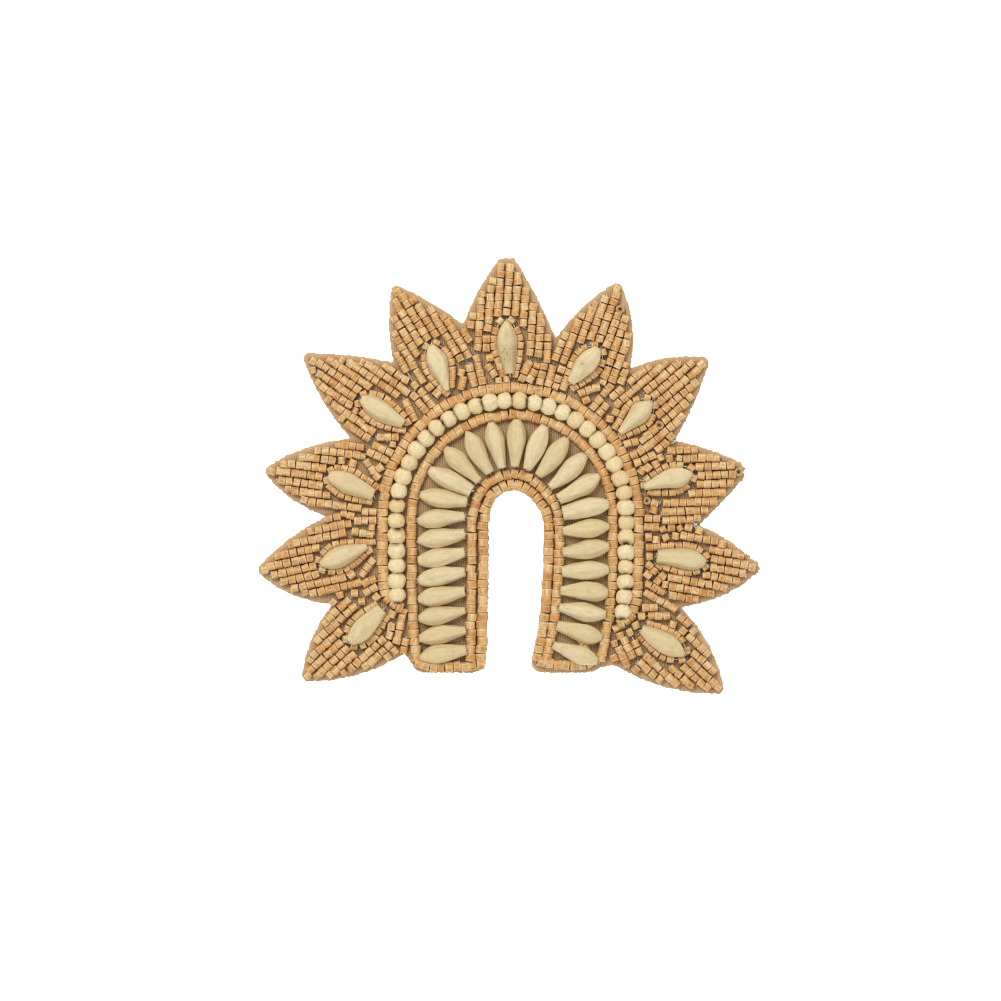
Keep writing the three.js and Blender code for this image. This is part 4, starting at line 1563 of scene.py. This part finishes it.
    def back_stitches(self, strands: list[list[Bead]]) -> list[Line]:
        """Running stitches on the underside, below each strand."""
        heights = ((0.05, 0.3), (0.14, 0.12), (0.5, 0.11), (0.86, 0.12), (0.95, 0.3))
        pairs = [(a.at, b.at - a.at) for strand in strands for a, b in zip(strand[::2], strand[1::2])]
        return [[raised(start + gap * share, height) for share, height in heights] for start, gap in pairs]


# ---- Studio


@dataclass
class Studio:
    """White floor, soft light from above and a camera that looks straight down."""

    picture_width: float = 0.4004
    middle: tuple[float, float] = (-0.0033, -0.0098)
    lens: float = 200.0
    sensor: float = 36.0
    pixel_blur: float = 1.1
    sky: float = 0.6
    key: float = 10.5
    fill: float = 2.31
    floor_glow: float = 0.8

    def build(self) -> None:
        """Makes the camera, the floor and the lights."""
        scene = bpy.context.scene
        camera = bpy.data.objects.new("camera", bpy.data.cameras.new("camera"))
        scene.collection.objects.link(camera)
        camera.data.lens = self.lens
        camera.data.sensor_width = self.sensor
        height = self.picture_width * self.lens / self.sensor
        camera.location = (self.middle[0], self.middle[1], height + CLOTH_TOP * MM)
        camera.data.clip_end = 10.0
        scene.camera = camera
        scene.view_settings.view_transform = "Standard"
        self.floor()
        world = bpy.data.worlds.new("white_room")
        scene.world = world
        world.use_nodes = True
        backdrop = world.node_tree.nodes["Background"]
        backdrop.inputs["Color"].default_value = (1.0, 1.0, 1.0, 1.0)
        backdrop.inputs["Strength"].default_value = self.sky
        scene.cycles.filter_width = self.pixel_blur
        self.lamp("window", (-0.4, 0.65, 1.3), 0.6, self.key)
        self.lamp("fill", (0.8, -0.5, 1.2), 1.0, self.fill)

    def floor(self) -> None:
        """A wide white floor just under the applique."""
        half = 3000.0
        corners = [(-half, -half, -0.02), (half, -half, -0.02), (half, half, -0.02), (-half, half, -0.02)]
        floor = make_piece("studio_floor", corners, [(0, 1, 2, 3)])
        material = bpy.data.materials.new("white_floor")
        material.use_nodes = True
        surface = material.node_tree.nodes["Principled BSDF"]
        surface.inputs["Base Color"].default_value = (0.95, 0.95, 0.95, 1.0)
        surface.inputs["Roughness"].default_value = 1.0
        surface.inputs["Emission Color"].default_value = (1.0, 1.0, 1.0, 1.0)
        surface.inputs["Emission Strength"].default_value = self.floor_glow
        floor.data.materials.append(material)

    def lamp(self, name: str, place: tuple[float, float, float], size: float, power: float) -> None:
        """A square soft light that faces the middle of the floor."""
        light = bpy.data.lights.new(name, "AREA")
        light.size = size
        light.energy = power
        lamp = bpy.data.objects.new(name, light)
        bpy.context.scene.collection.objects.link(lamp)
        lamp.location = place
        lamp.rotation_mode = "QUATERNION"
        lamp.rotation_quaternion = (-Vector(place)).to_track_quat("-Z", "Y")


# ---- The applique


# Each wood finish also holds painted light: a painted highlight towards the bead ends, and painted shade on
# the lower sides and at rims and holes
BARREL_WOOD = WoodFinish(
    name="barrel_wood",
    tones=((218, 154, 86), (236, 183, 110), (243, 202, 134), (249, 218, 158), (237, 180, 109)),
    dark=(172, 112, 54),
    shade_and_stain=(92, 46, 18),
    low_shade_tone=(150, 84, 36),
    ring_pitch=1.3,
    fibre=1.5,
    contrast=0.85,
    pores=0.5,
    wear_and_highlight=0.3,
    low_shade=0.85,
    rim_dirt=0.85,
    roughness=0.58,
    bump=0.5,
)
ROUND_WOOD = WoodFinish(
    name="round_bead_wood",
    tones=((240, 216, 162), (248, 229, 178), (253, 238, 196)),
    dark=(184, 142, 86),
    shade_and_stain=(96, 58, 26),
    low_shade_tone=(150, 108, 56),
    ring_pitch=1.2,
    fibre=1.7,
    contrast=0.26,
    pores=0.3,
    wear_and_highlight=0.0,
    low_shade=0.55,
    rim_dirt=0.9,
    roughness=0.6,
    bump=0.6,
)
PALE_WOOD = WoodFinish(
    name="pale_wood",
    tones=((226, 206, 158), (232, 213, 168), (237, 220, 178)),
    dark=(192, 156, 100),
    shade_and_stain=(120, 84, 44),
    low_shade_tone=(160, 118, 66),
    ring_pitch=1.7,
    fibre=1.5,
    contrast=0.32,
    pores=0.1,
    wear_and_highlight=0.0,
    low_shade=0.3,
    rim_dirt=0.45,
    roughness=0.62,
    bump=0.55,
)
CLOTH = ClothFinish("ribbed_cloth", (234, 200, 152), (142, 104, 68))
THREAD = ThreadFinish("sewing_cotton", (250, 246, 240), (222, 210, 190))

# Small beads that stand on end, in plan millimetres
UPRIGHT_BEADS = (47.7 + 69.6j, 41.3 - 12.4j, 94.1 + 1.2j, 60.9 + 22.0j)
ROW_NODES = {
    "outer_border_row": "outer_border_beads",
    "inner_border_row": "inner_border_beads",
    "opening_second_row": "second_row_beads",
    "opening_edge_row": "edge_row_beads",
    "left_foot_row": "left_foot_beads",
    "right_foot_row": "right_foot_beads",
}
LOOPED_ROWS = ("opening_second_row", "opening_edge_row", "outer_border_row", "inner_border_row")
# Widths of each marquise bead's two ends in millimetres, inner end first, from the left foot round
ARCH_BEAD_ENDS = (
    (3.6, 1.6), (2.8, 2.4), (2.6, 2.4), (3.6, 2.2), (3.4, 2.8), (3.8, 3.0), (3.6, 2.0),
    (3.4, 2.0), (4.0, 2.6), (5.0, 3.2), (3.2, 1.8), (3.6, 1.2), (3.4, 1.8), (3.0, 2.6),
    (3.0, 2.6), (3.2, 2.4), (2.8, 2.8), (4.4, 2.0), (5.2, 2.8), (3.0, 1.8), (3.2, 2.6),
    (3.8, 2.8), (3.4, 3.0), (3.0, 2.8), (4.0, 1.6), (3.0, 2.2),
)  # fmt: skip
PETAL_BEAD_ENDS = (
    (4.6, 3.0), (2.2, 2.0), (4.4, 3.4), (3.4, 2.4), (1.8, 1.8), (3.4, 1.0),
    (3.0, 2.4), (2.4, 1.8), (2.4, 1.2), (5.0, 2.4), (3.6, 1.4),
)  # fmt: skip
# Brown marks on a bead: share of its length, share of its width, radius and depth of tone
ARCH_BEAD_STAINS = {23: ((0.15, 0.15, 1.0, 0.7),)}
PETAL_BEAD_STAINS = {
    6: ((-0.3, 0.0, 5.0, 0.85), (0.45, -0.2, 2.0, 0.5)),
    7: ((0.0, 0.25, 1.6, 0.75),),
}
# Knots of cotton between the beads
COTTON_TUFTS = (
    53.3 + 11.3j, 59.8 + 29.6j, 54.2 - 2.4j, 65.4 + 14.6j, 74.0 - 19.0j, -50.5 - 17.5j, -47.3 + 14.8j,
)  # fmt: skip
# Petal tips where the cloth is most frayed
RAGGED_TIPS = (94.5 + 0.0j, 99.0 - 37.4j)
# Widths of small beads, least and most
ROW_WIDTHS = {"outer_border_row": (4.4, 5.0), "inner_border_row": (4.1, 4.6)}
PLAIN_WIDTHS = (4.0, 4.5)
# Corners of the uneven lines that the foot rows follow
FOOT_ROW_PATHS = {
    "left_foot_row": (-36.0 - 74.6j, -34.0 - 76.2j, -30.5 - 76.7j, -22.0 - 76.3j, -11.2 - 75.3j),
    "right_foot_row": (13.2 - 74.4j, 19.0 - 75.2j, 26.0 - 76.1j, 31.5 - 76.1j, 35.2 - 74.6j, 37.0 - 71.4j),
}


def eased(line: list[complex], passes: int) -> list[complex]:
    """A line of places with its kinks drawn smooth and its two ends kept."""
    for _ in range(passes):
        inner = [(a + 2 * b + c) / 4 for a, b, c in zip(line, line[1:], line[2:])]
        line = [line[0], *inner, line[-1]]
    return line


def spaced(corners: tuple[complex, ...], pitch: float) -> list[complex]:
    """Places at an even pitch along a line with corners."""
    reaches = np.cumsum([0.0, *np.abs(np.diff(corners))])
    steps = np.linspace(0, reaches[-1], round(reaches[-1] / pitch) + 1)
    x, y = np.interp(steps, reaches, np.real(corners)), np.interp(steps, reaches, np.imag(corners))
    return [complex(*place) for place in zip(x, y)]


@dataclass
class Applique:
    """The whole applique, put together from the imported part's places."""

    part: PackedPart
    arch_height: float = 5.2
    petal_height: float = 5.5
    round_height: float = 4.5
    round_room: float = 2.9
    row_dye: float = 0.42
    field_dye: float = 0.52
    tie_count: int = 70
    fibre_count: int = 420
    seed: int = 3

    def __post_init__(self) -> None:
        """Reads the places that all the pieces share, and makes the finishes."""
        self.draw = random.Random(self.seed)
        self.ground = Ground(self.worn_outline())
        grain, shade_and_stain_tree, weave = grain_group(), shade_and_stain_group(), weave_group()
        self.barrel_wood = BARREL_WOOD.material(grain, shade_and_stain_tree)
        self.pale_wood = PALE_WOOD.material(grain, shade_and_stain_tree)
        self.round_wood = ROUND_WOOD.material(grain, shade_and_stain_tree)
        self.cloth = CLOTH.material(weave)
        self.thread = THREAD.material()
        self.strands: list[list[Bead]] = []

    def worn_outline(self, step: float = 1.3) -> list[complex]:
        """The cloth's outline, with the opening's curve eased and the feet's corners worn round."""
        rim = divided(self.part.cloth_outline(), step)
        opening = [abs(p - ARCH_CENTRE) < 24 and p.imag > -40 for p in rim]
        foot = [p.imag < -73 and abs(p.real) < 41 for p in rim]
        for turn in range(14):
            wear_and_highlight = [arch or (corner and turn < 6) for arch, corner in zip(opening, foot)]
            rim = [new if moves else old for moves, old, new in zip(wear_and_highlight, rim, relaxed(rim))]
        return rim

    def rows(self) -> dict[str, list[Bead]]:
        """The beads of each row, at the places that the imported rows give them."""
        rows = {}
        for node in ROW_NODES:
            middles = self.part.row_beads(node)
            if node in FOOT_ROW_PATHS:
                middles = spaced(FOOT_ROW_PATHS[node], abs(middles[1] - middles[0]))
            middles = eased(middles, 4)
            row = []
            for i, middle in enumerate(middles):
                before, beyond = max(i - 1, 0), min(i + 1, len(middles) - 1)
                pitch = abs(middles[beyond] - middles[before]) / (beyond - before)
                ahead = unit(middles[beyond] - middles[before])
                side = ahead * 1j * self.draw.gauss(0, 0.17)
                bead = Bead(
                    middle + side,
                    ahead * complex(1, self.draw.gauss(0, 0.07)),
                    pitch * self.draw.uniform(0.97, 1.06),
                    self.draw.uniform(*ROW_WIDTHS.get(node, PLAIN_WIDTHS)),
                    3.3 + self.draw.gauss(0, 0.08),
                )
                bead.way = unit(bead.way)
                row.append(bead)
            rows[node] = row
            self.strands.append(row)
            for bead in row:
                self.ground.put(bead)
        return rows

    def petals(self) -> list[Petal]:
        """The petals with their tips and valleys, found on the cloth's outline."""
        outline = self.ground.outline
        numbered = enumerate(PETAL_BEAD_ENDS, 1)
        spindles = [self.part.spindle(f"petal_bead_{k:02d}", ends) for k, ends in numbered]
        ways = [unit(spindle.centre - ARCH_CENTRE) for spindle in spindles]
        tips = []
        for way in ways:
            near = [p for p in outline if abs(np.angle((p - ARCH_CENTRE) / way)) < 0.16]
            tips.append(max(near, key=lambda p: abs(p - ARCH_CENTRE)))
        valleys = []
        for first, second in zip(tips, tips[1:]):
            span = np.angle((second - ARCH_CENTRE) / (first - ARCH_CENTRE))
            between = [
                p
                for p in outline
                if 0.15 < np.angle((p - ARCH_CENTRE) / (first - ARCH_CENTRE)) / span < 0.85
                and abs(p - ARCH_CENTRE) > 60
            ]
            valleys.append(min(between, key=lambda p: abs(p - ARCH_CENTRE)))
        stops = [ARCH_CENTRE + HIPS[0], *valleys, ARCH_CENTRE + HIPS[1]]
        return [Petal(k + 1, spindle, tips[k], stops[k], stops[k + 1]) for k, spindle in enumerate(spindles)]

    def build(self) -> None:
        """Makes every piece, from the cloth up."""
        cloth = ClothBacking(self.ground, self.cloth).cut("cloth_backing")
        dress(cloth, ["fabric_backing"])
        corners = np.array(self.ground.outline)
        area = abs((corners * np.roll(corners, -1).conj()).imag.sum()) / 2

        rows = self.rows()
        middles = self.part.round_beads("round_bead_row")
        for middle in middles:
            self.ground.block(middle, self.round_room)
        petals = self.petals()
        sewing = PetalSewing(self.ground, petals, [bead.at for bead in rows["inner_border_row"]])
        sewing.sew()
        self.strands += sewing.strings

        barrels = BarrelBeads(self.barrel_wood)
        for node, name in ROW_NODES.items():
            barrels.sew(name, rows[node], [node], self.row_dye)
        for petal in petals:
            name, node = f"petal_field_{petal.index:02d}", f"petal_small_beads_{petal.index:02d}"
            barrels.sew(name, sewing.owner[petal.index], [node], self.field_dye)
        barrels.clear_samples()

        carver = MarquiseBeads(self.pale_wood)
        spindles = []
        for k, ends in enumerate(ARCH_BEAD_ENDS, 1):
            spindle = self.part.spindle(f"arch_bead_{k:02d}", ends)
            spindles.append(spindle)
            name, stains = f"arch_marquise_{k:02d}", ARCH_BEAD_STAINS.get(k, ())
            bead = carver.carve(name, spindle, self.arch_height, k, stains)
            dress(bead, [f"arch_bead_{k:02d}"])
        for petal in petals:
            name, stains = f"petal_marquise_{petal.index:02d}", PETAL_BEAD_STAINS.get(petal.index, ())
            bead = carver.carve(name, petal.spindle, self.petal_height, 40 + petal.index, stains)
            dress(bead, [f"petal_bead_{petal.index:02d}"])
            spindles.append(petal.spindle)
        beads = RoundBeads(self.round_wood).string("round_beads", middles, self.round_height)
        dress(beads, ["round_bead_row"])
        self.sew_threads(rows, spindles)

    def sew_threads(self, rows: dict[str, list[Bead]], spindles: list[Spindle]) -> None:
        """Lays the strings, loops, loose ends and back stitches."""
        work = Threads(self.thread)
        stitching = Stitching()
        loops: list[Line] = []
        for node in LOOPED_ROWS:
            loops += stitching.row_loops(rows[node])
        loops += stitching.ties(self.strands[len(ROW_NODES) :], self.tie_count)
        loops += stitching.loose_ends(spindles, 4.6)
        loops += stitching.tufts(COTTON_TUFTS)
        parts = {
            "bead_strings": (stitching.strings(self.strands), 0.22),
            "thread_loops": (loops, 0.24),
            "back_stitches": (stitching.back_stitches(self.strands), 0.11),
            "edge_fibres": (stitching.fibres(self.ground, self.fibre_count), 0.07),
        }
        for name, (lines, radius) in parts.items():
            dress(work.lay(name, lines, radius), [])


def main() -> None:
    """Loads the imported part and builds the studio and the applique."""
    logging.basicConfig(level=logging.INFO, format="%(name)s: %(message)s")
    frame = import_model()
    Studio().build()
    Applique(PackedPart(frame["nodes"])).build()


if __name__ == "__main__":
    main()
